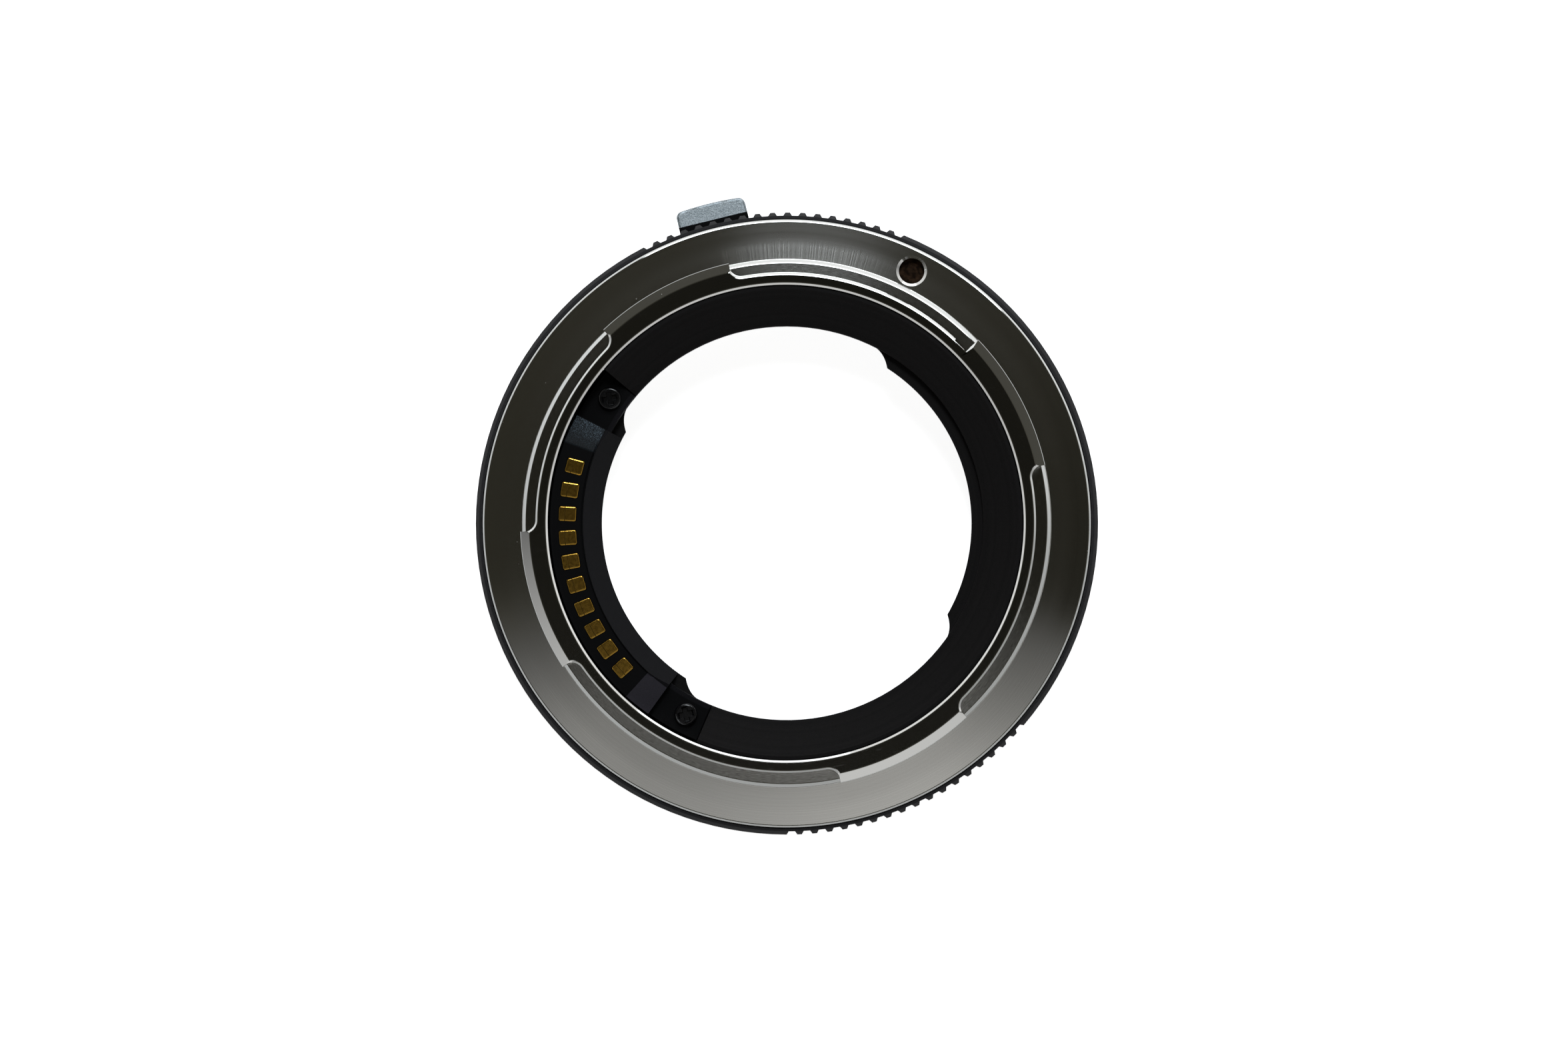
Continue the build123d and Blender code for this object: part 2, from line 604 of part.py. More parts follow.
def ramp_cutter(angle, side):
    """Wedge that slopes an end of the raised strip; side is +1 or -1 along the arc."""
    run = CONTACT_R * math.radians(BLOCK_RAMP_ANGLE) * RAMP_OVERRUN
    drop = BLOCK_RAMP_DROP * RAMP_OVERRUN
    outline = Polyline(
        (0, BLOCK_TOP_Z),
        (side * run, BLOCK_TOP_Z - drop),
        (side * run, BLOCK_TOP_Z + drop),
        (0, BLOCK_TOP_Z + drop),
        close=True,
    )
    wedge = extrude(Plane.YZ * make_face(outline), TUBE_BORE_R)
    return Rot(0, 0, angle) * wedge


def make_contact_block():
    """Moulded strip: a raised arc with a ramp at each end, between two screw pockets."""
    plate = sector(LINER_WAIST_R, BLOCK_R, BLOCK_START_ANGLE, BLOCK_END_ANGLE, LEDGE_Z, PLATE_Z)
    slit_in = BLOCK_LIP_R + BLOCK_LIP_W
    apron_z = LEDGE_UNDER_Z + FLEX_ROOM
    section = make_face(Polyline([
        (BLOCK_R, LEDGE_Z),
        (BLOCK_R, BLOCK_TOP_Z),
        (slit_in + BLOCK_SLIT_W, BLOCK_TOP_Z),
        (slit_in + BLOCK_SLIT_W, BLOCK_TOP_Z - BLOCK_SLIT_DEPTH),
        (slit_in, BLOCK_TOP_Z - BLOCK_SLIT_DEPTH),
        (BLOCK_LIP_R, BLOCK_TOP_Z - BLOCK_LIP_DROP),
        (BLOCK_APRON_R, apron_z),
        (LINER_WAIST_R - SEAT_FIT, apron_z),
        (LINER_WAIST_R - SEAT_FIT, LEDGE_Z),
    ], close=True))
    span = RAISED_END_ANGLE - RAISED_START_ANGLE
    raised = Rot(0, 0, RAISED_START_ANGLE) * revolve(Plane.XZ * section, Axis.Z, span)
    cuts = [
        ramp_cutter(RAISED_START_ANGLE + BLOCK_RAMP_ANGLE, -1),
        ramp_cutter(RAISED_END_ANGLE - BLOCK_RAMP_ANGLE, 1),
    ]
    for angle in contact_angles():
        cuts.append(Rot(0, 0, angle) * contact_shape(SNUG_FIT))
    for angle in BLOCK_SCREW_ANGLES:
        cuts.append(post(BLOCK_SCREW_R + SNUG_FIT, LEDGE_Z, PLATE_Z, angle, BLOCK_SCREW_CIRCLE_R))
    return plate + raised - cuts


def make_block_screws():
    """Small domed cross-head screws that hold the contact block down on the liner's ledge."""
    r = BLOCK_SCREW_HEAD_R
    h = BLOCK_SCREW_HEAD_H
    crown = h / 2
    profile = make_face([
        Line((0, 0), (r, 0)),
        Line((r, 0), (r, crown)),
        RadiusArc((r, crown), (0, h), -(r * r + crown * crown) / (2 * crown)),
        Line((0, h), (0, 0)),
    ])
    head = revolve(Plane.XZ * profile, Axis.Z)
    shank = extrude(Circle(BLOCK_SCREW_R), -(PLATE_Z - LEDGE_UNDER_Z))
    screw = head + shank - Pos(0, 0, h) * cross_recess(r)
    return Compound([at(angle, BLOCK_SCREW_CIRCLE_R, PLATE_Z) * screw for angle in BLOCK_SCREW_ANGLES])


# Circuit


def make_flex_circuit():
    """Bent film: under the contact tails, down behind the skirt, then out to the sensor."""
    top = LEDGE_Z
    section = make_face(Polyline([
        (FLEX_INNER_R, top - FLEX_T),
        (FLEX_WALL_R - FLEX_T, top - FLEX_T),
        (FLEX_WALL_R - FLEX_T, FLEX_Z),
        (FLEX_OUTER_R, FLEX_Z),
        (FLEX_OUTER_R, FLEX_Z + FLEX_T),
        (FLEX_WALL_R, FLEX_Z + FLEX_T),
        (FLEX_WALL_R, top),
        (FLEX_INNER_R, top),
    ], close=True))
    span = FLEX_END_ANGLE - FLEX_START_ANGLE
    bent = Rot(0, 0, FLEX_START_ANGLE) * revolve(Plane.XZ * section, Axis.Z, span)
    sensor_end = CODE_WINDOW_ANGLE + SENSOR_SPAN_ANGLE / 2 - FLEX_ROOM_ANGLE
    reach_in = BODY_BORE_R + SEAT_FIT
    tongue = sector(reach_in, FLEX_OUTER_R, FLEX_START_ANGLE, sensor_end, FLEX_Z, FLEX_Z + FLEX_T)
    return bent + tongue


def sensor_room(grow, z0, z1):
    """Ring sector that the sensor board takes up in the body."""
    half = SENSOR_SPAN_ANGLE / 2
    r_in = CODE_WINDOW_R - SENSOR_W / 2 - grow
    r_out = CODE_WINDOW_R + SENSOR_W / 2 + grow
    turn = math.degrees(grow / CODE_WINDOW_R)
    return sector(r_in, r_out, CODE_WINDOW_ANGLE - half - turn, CODE_WINDOW_ANGLE + half + turn, z0, z1)


def make_sensor_board():
    """Board with one row of light sensors that look out through the window."""
    board_z = FLEX_Z - SENSOR_BOARD_T
    board = sensor_room(0, board_z, FLEX_Z)
    half = SENSOR_CHIP_SPAN_ANGLE / 2
    chip = sector(
        CODE_WINDOW_R - SENSOR_CHIP_W / 2,
        CODE_WINDOW_R + SENSOR_CHIP_W / 2,
        CODE_WINDOW_ANGLE - half,
        CODE_WINDOW_ANGLE + half,
        board_z - SENSOR_CHIP_T,
        board_z,
    )
    return board + chip


# Lens side bayonet


def window_room(grow, z0, z1):
    """Ring sector of the dark window in the lens flange."""
    half = CODE_WINDOW_SPAN_ANGLE / 2 + math.degrees(grow / CODE_WINDOW_R)
    r_in = CODE_WINDOW_R - CODE_WINDOW_W / 2 - grow
    r_out = CODE_WINDOW_R + CODE_WINDOW_W / 2 + grow
    return sector(r_in, r_out, CODE_WINDOW_ANGLE - half, CODE_WINDOW_ANGLE + half, z0, z1)


def make_code_window():
    return window_room(0, CODE_WINDOW_SETBACK, LENS_SEAT_Z)


def tab_angles():
    """Middle of each tab."""
    return [TAB_FIRST_ANGLE + 360 / TAB_COUNT * i for i in range(TAB_COUNT)]


def stop_pin_place():
    """Angle and circle radius of the stop pin, near the far end of its tab."""
    end_room = math.degrees(STOP_PIN_END_ROOM / TAB_MIDDLE_R)
    return tab_angles()[STOP_PIN_TAB] + TAB_ANGLE / 2 - end_room, TAB_MIDDLE_R


def make_lens_bayonet():
    """Flange with four inward tabs; the gaps between them let the lens lugs in."""
    c = LENS_FLANGE_CHAMFER
    ring = turned([
        (TAB_R + TAB_CHAMFER, 0),
        (LENS_FLANGE_R - c, 0),
        (LENS_FLANGE_R, c),
        (LENS_FLANGE_R, LENS_FLANGE_T),
        (THROAT_R, LENS_FLANGE_T),
        (THROAT_R, TAB_T),
        (TAB_R, TAB_T),
        (TAB_R, TAB_CHAMFER),
    ])
    cuts = []
    gap_angle = 360 / TAB_COUNT - TAB_ANGLE
    for middle in tab_angles():
        start = middle + TAB_ANGLE / 2
        cuts.append(sector(TAB_R - BEYOND, THROAT_R, start, start + gap_angle, 0, LENS_FLANGE_T))
    for angle in LENS_SCREW_ANGLES:
        cuts.append(at(angle, LENS_SCREW_CIRCLE_R) * countersink(SNUG_FIT))
    cuts.append(post(PIN_R + RUNNING_FIT, 0, LENS_FLANGE_T, BUTTON_ANGLE, PIN_CENTRE_R))
    angle, circle_r = stop_pin_place()
    cuts.append(post(STOP_PIN_R + SNUG_FIT, TAB_T - STOP_PIN_SEAT, TAB_T, angle, circle_r))
    cuts.append(window_room(RUNNING_FIT, 0, LENS_FLANGE_T))
    return ring - cuts


def countersink(grow):
    """Countersunk screw outline from the flange face, or its hole when it is grown."""
    head_r = LENS_SCREW_HEAD_R + grow
    shank_r = LENS_SCREW_R + grow
    return turned([
        (0, 0),
        (head_r, 0),
        (shank_r, head_r - shank_r),
        (shank_r, LENS_SCREW_LENGTH),
        (0, LENS_SCREW_LENGTH),
    ])


def make_lens_screws():
    drive = Rot(180, 0, 0) * cross_recess(LENS_SCREW_HEAD_R)
    screw = countersink(0) - drive
    return Compound([at(angle, LENS_SCREW_CIRCLE_R) * screw for angle in LENS_SCREW_ANGLES])


def make_register_shim():
    """Thin ring under the lens bayonet that sets the exact flange distance."""
    ring = disc(LENS_FLANGE_R - SEAT_FIT, LENS_FLANGE_T, LENS_SEAT_Z)
    cuts = [disc(BODY_BORE_R, LENS_FLANGE_T, LENS_SEAT_Z)]
    for angle in LENS_SCREW_ANGLES:
        radius = LENS_SCREW_R + GUIDE_FIT
        cuts.append(post(radius, LENS_FLANGE_T, LENS_SEAT_Z, angle, LENS_SCREW_CIRCLE_R))
    cuts.append(post(PIN_R + GUIDE_FIT, LENS_FLANGE_T, LENS_SEAT_Z, BUTTON_ANGLE, PIN_CENTRE_R))
    cuts.append(window_room(RUNNING_FIT, LENS_FLANGE_T, LENS_SEAT_Z))
    return ring - cuts


def make_lug_spring(centre):
    """Bowed leaf behind a tab; it pulls the lens lug back and the lens flange tight."""
    half = LUG_SPRING_LENGTH / 2
    inner = ThreePointArc((-half, TAB_T), (0, TAB_T + LUG_SPRING_BOW), (half, TAB_T))
    outer = ThreePointArc(
        (-half, TAB_T + LUG_SPRING_T),
        (0, TAB_T + LUG_SPRING_T + LUG_SPRING_BOW),
        (half, TAB_T + LUG_SPRING_T),
    )
    bow = make_face([inner, outer, Line(inner @ 0, outer @ 0), Line(inner @ 1, outer @ 1)])
    strip = extrude(Plane.YZ * bow, THROAT_R + BEYOND)
    r_in = TAB_MIDDLE_R - LUG_SPRING_W / 2
    track = sector(r_in, r_in + LUG_SPRING_W, -TAB_ANGLE / 2, TAB_ANGLE / 2, 0, REGISTER)
    return Rot(0, 0, centre) * (strip & track)


def make_stop_pin():
    angle, circle_r = stop_pin_place()
    return post(STOP_PIN_R, TAB_T - STOP_PIN_SEAT, TAB_T + STOP_PIN_REACH, angle, circle_r)


# Release button and lock pin, built on local +X and then turned to the button's side


def make_button_slide():
    """Fork whose sloped slots lift the cross pin as the button is pushed in."""
    fork = block(FORK_END_R, SHOULDER_R, -CHEEK_Y - CHEEK_T, CHEEK_Y + CHEEK_T, SLIDE_Z, CHEEK_TOP_Z)
    fork -= block(FORK_END_R, SHOULDER_R, -CHEEK_Y, CHEEK_Y, SLIDE_Z, CHEEK_TOP_Z)
    half = SHOULDER_W / 2
    shoulder = block(SHOULDER_R, NECK_R, -half, half, SLIDE_Z, SLIDE_TOP_Z)
    half = BUTTON_W / 2
    neck = block(NECK_R, BUTTON_BASE_R, -half, half, SLIDE_Z, SLIDE_TOP_Z)
    slot = SlotCenterToCenter(math.hypot(BUTTON_TRAVEL, PIN_LIFT), 2 * CAM_R)
    slope = math.degrees(math.atan2(PIN_LIFT, BUTTON_TRAVEL))
    middle = Pos(PIN_CENTRE_R + BUTTON_TRAVEL / 2, DOWEL_Z + PIN_LIFT / 2)
    cam = extrude(Plane.XZ * (middle * Rot(0, 0, slope) * slot), SHOULDER_W / 2, both=True)
    return at(BUTTON_ANGLE) * (fork + shoulder + neck + peg(0) - cam)


def peg(grow):
    """Peg that joins the slide to the button cap."""
    middle_z = (SLIDE_Z + SLIDE_TOP_Z) / 2
    half_w = PEG_W / 2 + grow
    half_h = PEG_HEIGHT / 2 + grow
    end_r = BUTTON_BASE_R + PEG_LENGTH + grow
    return block(BUTTON_BASE_R, end_r, -half_w, half_w, middle_z - half_h, middle_z + half_h)


def make_release_button():
    """Button cap, crowned to follow the ring, with soft corners and edges."""
    half = BUTTON_W / 2
    side_r = math.sqrt(BUTTON_R ** 2 - half ** 2)
    outline = make_face([
        Line((BUTTON_BASE_R, -half), (side_r, -half)),
        ThreePointArc((side_r, -half), (BUTTON_R, 0), (side_r, half)),
        Line((side_r, half), (BUTTON_BASE_R, half)),
        Line((BUTTON_BASE_R, half), (BUTTON_BASE_R, -half)),
    ])
    outline = fillet(outline.vertices().sort_by(Axis.X)[-2:], BUTTON_CORNER)
    cap = extrude(Pos(0, 0, SLIDE_Z) * outline, BUTTON_HEIGHT)
    edges = [e for face in cap.faces().filter_by(Axis.Z) for e in face.edges()]
    rims = [e for e in edges if e.center().X > BUTTON_BASE_R + SAME_PLACE]
    cap = fillet(rims, BUTTON_EDGE)
    return at(BUTTON_ANGLE) * (cap - peg(SNUG_FIT))


def make_lock_pin():
    """Pin that stands out of the lens flange and drops into the lens's lock notch."""
    top_z = DOWEL_Z + PIN_HEAD
    pin = turned([
        (0, -PIN_PROUD),
        (PIN_R - PIN_TIP_CHAMFER, -PIN_PROUD),
        (PIN_R, -PIN_PROUD + PIN_TIP_CHAMFER),
        (PIN_R, top_z),
        (0, top_z),
    ])
    eye = Pos(0, 0, DOWEL_Z) * extrude(Plane.XZ * Circle(DOWEL_R + SNUG_FIT), PIN_R * 2, both=True)
    return at(BUTTON_ANGLE, PIN_CENTRE_R) * (pin - eye)


def make_lock_dowel():
    half = CHEEK_Y + CHEEK_T
    dowel = extrude(Plane.XZ * Circle(DOWEL_R), half, both=True)
    return at(BUTTON_ANGLE, PIN_CENTRE_R, DOWEL_Z) * dowel


def make_return_spring(side):
    """Coil that pushes the button out again, between the pocket wall and the shoulder."""
    length = SHOULDER_R - POCKET_INNER_R - 2 * RETURN_SPRING_WIRE_R - 2 * SNUG_FIT
    path = Helix(length / RETURN_SPRING_TURNS, length, RETURN_SPRING_R)
    wire = sweep(Plane(path @ 0, z_dir=path % 0) * Circle(RETURN_SPRING_WIRE_R), path, is_frenet=True)
    start_r = POCKET_INNER_R + RETURN_SPRING_WIRE_R + SNUG_FIT
    middle_z = (SLIDE_Z + SLIDE_TOP_Z) / 2
    place = Pos(start_r, side * RETURN_SPRING_Y, middle_z) * Rot(0, 90, 0)
    return at(BUTTON_ANGLE) * (place * wire)


# Index dots


def lens_dot_circle_r():
    return (LENS_SEAT_R + BODY_R - BODY_CHAMFER) / 2


def camera_dot_plug(radius):
    """Radial plug in the outside of the body, from DOT_DEPTH below the surface outwards."""
    plug = extrude(Plane.YZ * Circle(radius), DOT_DEPTH + BEYOND)
    return at(CAMERA_DOT_ANGLE, BODY_R - DOT_DEPTH, CAMERA_DOT_Z) * plug


def make_camera_dot():
    return camera_dot_plug(CAMERA_DOT_R) & disc(BODY_R, BODY_FRONT_Z, BODY_REAR_Z)


def make_lens_dot():
    top = BODY_FRONT_Z + DOT_DEPTH
    return post(LENS_DOT_R, BODY_FRONT_Z, top, LENS_DOT_ANGLE, lens_dot_circle_r())


PARTS = {
    "body_ring": make_body_ring(),
    "camera_bayonet": make_camera_bayonet(),
    "camera_bayonet_screws": make_camera_screws(),
    "rear_liner": make_rear_liner(),
    "light_baffle": make_light_baffle(),
    "contact_block": make_contact_block(),
    "contact_block_screws": make_block_screws(),
    "flex_circuit": make_flex_circuit(),
    "sensor_board": make_sensor_board(),
    "code_window": make_code_window(),
    "lens_bayonet": make_lens_bayonet(),
    "lens_bayonet_screws": make_lens_screws(),
    "register_shim": make_register_shim(),
    "lens_stop_pin": make_stop_pin(),
    "button_slide": make_button_slide(),
    "release_button": make_release_button(),
    "lock_pin": make_lock_pin(),
    "lock_dowel": make_lock_dowel(),
    "camera_index_dot": make_camera_dot(),
    "lens_index_dot": make_lens_dot(),
}
for number, angle in enumerate(contact_angles(), start=1):
    PARTS[f"contact_{number:02d}"] = make_contact(angle)
for number, centre in enumerate(tab_angles(), start=1):
    PARTS[f"lug_spring_{number}"] = make_lug_spring(centre)
for number, side in enumerate((-1, 1), start=1):
    PARTS[f"button_spring_{number}"] = make_return_spring(side)

for name, solid in PARTS.items():
    export_step(solid, f"parts/{name}.step")
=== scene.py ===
import json
import math

import bmesh
import bpy
import numpy as np
from mathutils import Matrix, Vector


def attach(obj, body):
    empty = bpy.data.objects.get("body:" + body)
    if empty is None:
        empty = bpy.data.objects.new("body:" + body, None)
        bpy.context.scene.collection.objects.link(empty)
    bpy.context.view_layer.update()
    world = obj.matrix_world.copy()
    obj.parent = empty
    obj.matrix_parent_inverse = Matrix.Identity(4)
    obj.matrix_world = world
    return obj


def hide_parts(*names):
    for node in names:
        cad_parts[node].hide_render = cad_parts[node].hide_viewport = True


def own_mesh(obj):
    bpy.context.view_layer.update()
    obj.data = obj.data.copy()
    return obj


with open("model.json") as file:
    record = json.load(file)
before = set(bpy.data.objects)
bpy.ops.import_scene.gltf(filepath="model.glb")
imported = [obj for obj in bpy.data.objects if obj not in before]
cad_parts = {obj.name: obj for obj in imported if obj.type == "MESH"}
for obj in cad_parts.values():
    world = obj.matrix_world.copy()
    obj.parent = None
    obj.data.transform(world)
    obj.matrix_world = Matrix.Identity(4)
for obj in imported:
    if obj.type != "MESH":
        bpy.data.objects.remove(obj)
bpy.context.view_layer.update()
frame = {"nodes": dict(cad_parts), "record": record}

# Sizes are millimetres and degrees unless a name says otherwise.
MM = 0.001

# Photograph: the optical axis points at the camera, and the picture is turned about it.
PHOTO_TURN = 76.3           # picture's right-hand direction, as an angle in the object's frame
PHOTO_SIZE_PX = (2352, 1568)
AXIS_PX = (1179.6, 785.0)   # where the optical axis meets the picture
SCALE_MM_PX = 0.065         # at the camera flange face
CAMERA_DISTANCE = 520.0     # above the camera flange face
CAMERA_ASIDE = (11.0, -8.0)  # camera off the axis, along the picture's right and up
SENSOR_W = 36.0

# Camera bayonet
FLANGE_Z = 7.8
FLANGE_SEAT_Z = 5.8
FLANGE_R = 29.7
FLANGE_CHAMFER = 0.22
COLLAR_R = 25.77
COLLAR_Z = 8.65
COLLAR_CHAMFER = 0.38
TUBE_R = 24.24
TUBE_BORE_R = 23.0
RIM_Z = 12.4
RIM_CHAMFER = 0.24
LUG_R = 25.72
LUG_Z = 9.9
LUG_ANGLE = 31.0
LUG_MIDDLES = (13.75, 104.3, 194.2, 273.75)
LUG_FILLET = 1.1
LEAD_IN_W = 0.92
LEAD_IN_DROP = 0.57
SQUARE_LUG = 1              # its far end is cut square
RELIEF_ANGLE = 3.6
RELIEF_DEPTH = 0.2
LOCK_HOLE_ANGLE = 139.9
LOCK_HOLE_CENTRE_R = 27.48
LOCK_HOLE_R = 1.25
LOCK_HOLE_Z = 6.5
LOCK_HOLE_CHAMFER = 0.25
LOCK_HOLE_CHAMFER_DROP = 0.2
LOCK_PATCH_ANGLE = 4.8      # half the stretch of flange face that is drawn round the recess
EASE = 0.045                # every machined edge is broken by this much
LUG_EASE = 0.06
UNDER_SHARE = 0.97          # a lug's underside is flat over this share of its reach
WELD = 0.002                # points closer than this become one
FLAT_MARGIN = 0.02          # a loop this far inside a rounded edge keeps the flat next to it flat

# Contact block's screws
SCREW_ANGLES = (221.05, 318.7)
SCREW_CIRCLE_R = 21.0
SCREW_Z = 9.5
SCREW_END_Z = 7.6
SCREW_R = 0.5
SCREW_HEAD_R = 1.12
SCREW_HEAD_H = 0.6
SCREW_FLAT_R = 0.86
SCREW_EDGE_H = 0.32
CROSS_W = 0.56
CROSS_DEPTH = 0.4
CROSS_REACH = 0.76
CROSS_FLOOR = (0.38, 0.8)   # half width and reach of the cross's floor, as shares of its width and reach
CROSS_EDGE = 0.03

# Contacts
PAD_ANGLES = 269.7 + 6.29 * (np.arange(10) - 4.5)
PAD_CENTRE_R = 21.15
PAD_SIZE = (1.69, 1.45)
PAD_CORNER = 0.2
PAD_EDGE = 0.13
PAD_Z = (11.35, 11.7)
TAIL_SIZE = (0.5, 0.9)
TAIL_CORNER = 0.02
TAIL_END_Z = 8.6

# Mask under the liner
MASK_R = 21.12
MASK_CLEAR_R = 19.25
MASK_ARC_R = 18.05
MASK_ARC_ANGLE = 86.6
MASK_END_ANGLE = 7.0
MASK_Z = (7.0, 7.6)

# Button's return springs
SPRING_START_X = -23.51
SPRING_END_X = -27.35
SPRING_Y = 3.2
SPRING_Z = 3.425
SPRING_R = 0.63
SPRING_WIRE_R = 0.12
SPRING_TURNS = 5

# Other places that finishes refer to
BODY_R = 30.4
CONTACT_WEAR_R = 21.42
BLOCK_LIP_R = 19.68
RAMP_ANGLES = (33.7, 33.8)  # ramps start this far from the contacts' middle line
GLINT_ANGLES = (34.5, 40.5)  # and carry more and more painted glints between these
RAMP_FOOT_Z = 9.55
FINISH_EDGE = 0.1           # width over which one finish gives way to the next
FEED_LEAN = math.tan(math.radians(1.0))  # slope at which the flange's feed marks fall away from the axis
FAN_STREAK_ANGLE = 163.0       # middle of the stretch of flange that carries painted fan streaks, under the fan lamp
BUTTON_SLIDE = "button_slide"

# Studio; a height here is the upward part of a direction of length one
LAMP_DISTANCE = 900.0
LAMP_COLOUR = "#f2f9ff"
SWEEP_FADE = (0.16, 0.3)
LOW_ANGLE = 268.0           # picture angle of the middle of the broad light near the horizon
LOW_FADE = (0.64, 0.5)
OVERHEAD = 0.011            # radiance straight overhead
OVERHEAD_FADE = (0.9972, 0.993)
ARC_ANGLE = 262.0           # picture angle of the middle of the arc of light overhead
ARC_INNER_FADE = (0.9973, 0.9962)
ARC_OUTER_FADE = (0.966, 0.985)
FLOOR_HALF = 1500.0
FLOOR_GAP = 0.02            # keeps the card clear of the lens flange that lies on it


def linear(colour):
    """Linear RGBA of an sRGB hex colour."""
    s = np.array([int(colour[i:i + 2], 16) for i in (1, 3, 5)]) / 255
    rgb = np.where(s <= 0.04045, s / 12.92, ((s + 0.055) / 1.055) ** 2.4)
    return (*rgb.tolist(), 1.0)


def picture_direction(angle, polar=90.0):
    """Unit vector at an angle in the picture, counter-clockwise from its right, and polar degrees off the axis."""
    turn = math.radians(angle + PHOTO_TURN)
    tilt = math.radians(polar)
    return Vector((math.sin(tilt) * math.cos(turn), math.sin(tilt) * math.sin(turn), math.cos(tilt)))


def on_circle(radius, angle):
    """Points in plan at a radius and angle from the axis; arrays give arrays."""
    turn = np.radians(angle)
    return np.stack([radius * np.cos(turn), radius * np.sin(turn)], -1)


# Materials


def add(tree, kind, inputs=None, out=0, **settings):
    """New shader node; an input is a value or a socket, settings are its properties, and one output comes back."""
    node = tree.nodes.new("ShaderNode" + kind)
    for name, value in settings.items():
        setattr(node, name, value)
    for name, value in (inputs or {}).items():
        if isinstance(value, bpy.types.NodeSocket):
            tree.links.new(value, node.inputs[name])
        else:
            node.inputs[name].default_value = value
    return node.outputs[out] if len(node.outputs) else None


def maths(tree, operation, *values):
    """Math node on one to three values or sockets."""
    return add(tree, "Math", dict(enumerate(values)), operation=operation)


def dot(tree, vector, direction):
    """How far a vector reaches along a direction."""
    return add(tree, "VectorMath", {0: vector, 1: direction}, out="Value", operation="DOT_PRODUCT")


def begin(name):
    """Empty node material, with the object's coordinates in millimetres and the distance from the optical axis."""
    material = bpy.data.materials.new(name)
    material.use_nodes = True
    tree = material.node_tree
    tree.nodes.clear()
    place = add(tree, "VectorMath", {0: add(tree, "TexCoord", out="Object"), "Scale": 1 / MM}, operation="SCALE")
    flat = add(tree, "VectorMath", {0: place, 1: (1, 1, 0)}, operation="MULTIPLY")
    radius = add(tree, "VectorMath", {0: flat}, out="Value", operation="LENGTH")
    return material, tree, place, radius


def end(tree, sockets):
    """Principled shader with these sockets, as the material's surface."""
    add(tree, "OutputMaterial", {"Surface": add(tree, "BsdfPrincipled", sockets)})


def blend(tree, share, first, second):
    """Colour between two hex colours or sockets, by a share from 0 to 1."""
    ends = [linear(c) if isinstance(c, str) else c for c in (first, second)]
    return add(tree, "Mix", {"Factor": share, 6: ends[0], 7: ends[1]}, out=2, data_type="RGBA")


def ramp(tree, value, low, high, to_low=0.0, to_high=1.0):
    """A value's run from low to high, spread smoothly over another range and held beyond it."""
    return add(tree, "MapRange", {
        "Value": value, "From Min": low, "From Max": high, "To Min": to_low, "To Max": to_high,
    }, interpolation_type="SMOOTHSTEP")


def grains(tree, place, size, detail=2.0):
    """Noise from 0 to 1 with grains of about this size."""
    return add(tree, "TexNoise", {"Vector": place, "Scale": 1 / size, "Detail": detail})


def relief(tree, height, depth, normal=None):
    """Normal of a surface that this height roughens by a depth in millimetres."""
    inputs = {"Height": height, "Distance": depth * MM, "Strength": 1.0}
    if normal:
        inputs["Normal"] = normal
    return add(tree, "Bump", inputs)


def tool_rings(tree, radius, spacing, detail=3.0):
    """Noise that runs only outwards from the axis, like the rings that a lathe tool leaves."""
    return add(tree, "TexNoise", {"W": radius, "Scale": 1 / spacing, "Detail": detail}, noise_dimensions="1D")


def bearing(tree, place):
    """Angle round the optical axis, in radians."""
    xyz = {axis: add(tree, "SeparateXYZ", {0: place}, out=axis) for axis in "XY"}
    return maths(tree, "ARCTAN2", xyz["Y"], xyz["X"])


def specks(tree, place, spacing, outer, inner):
    """Dust, as dots about a spacing apart that fade between two sizes, both as shares of the spacing."""
    return ramp(tree, add(tree, "TexVoronoi", {"Vector": place, "Scale": 1 / spacing}), outer, inner)


def turned_nickel():
    """Brass faced on a lathe and nickel plated: tool rings that spread a lamp into a fan across the ring.

    The real feed marks are about 0.03 mm apart, too fine to show, so they are drawn at 0.1 mm. Their outer flanks
    are the longer ones, so the face shines as if it leaned outwards a little. Under the fan lamp, near the collar,
    short radial streaks of brighter, rougher plate are a painted highlight that strengthens the fan there."""
    material, tree, place, radius = begin("lathe_turned_nickel_plate")
    turn = bearing(tree, place)
    fine = tool_rings(tree, radius, 0.1)
    broad = tool_rings(tree, radius, 0.7, 2.0)
    blotch = grains(tree, place, 6.0)
    dust = specks(tree, place, 2.2, 0.024, 0.014)
    # Painted highlight: brighter, rougher radial streaks on the inner flange under the fan lamp strengthen its fan.
    aside = maths(tree, "SUBTRACT", turn, math.radians(FAN_STREAK_ANGLE))
    aside = ramp(tree, maths(tree, "ABSOLUTE", aside), 0.5, 0.15)
    inner = ramp(tree, maths(tree, "MULTIPLY_ADD", blotch, 1.5, radius), 28.6, 27.6)
    fan_patch = maths(tree, "MULTIPLY", aside, inner)
    fan_streaks = ramp(tree, tool_rings(tree, turn, 0.0045, 3.0), 0.35, 0.7)
    fan_streaks = maths(tree, "MULTIPLY", fan_streaks, fan_patch)
    rough = maths(tree, "MULTIPLY_ADD", broad, 0.015, ramp(tree, radius, 27.3, 28.3, 0.092, 0.077))
    rough = maths(tree, "MULTIPLY_ADD", blotch, 0.01, rough)
    rough = maths(tree, "MULTIPLY_ADD", fan_streaks, 0.018, rough)
    colour = blend(tree, fan_streaks, blend(tree, fine, "#cfcec8", "#dddcd7"), "#f4f3ef")
    end(tree, {
        "Base Color": blend(tree, dust, colour, "#f6f5f2"),
        "Metallic": 1.0,
        "Roughness": maths(tree, "MULTIPLY_ADD", dust, 0.5, rough),
        "Anisotropic": 0.9,
        "Anisotropic Rotation": 0.25,
        "Tangent": add(tree, "Tangent", direction_type="RADIAL", axis="Z"),
        "Normal": relief(tree, maths(tree, "MULTIPLY", radius, -FEED_LEAN), 1.0),
    })
    return material


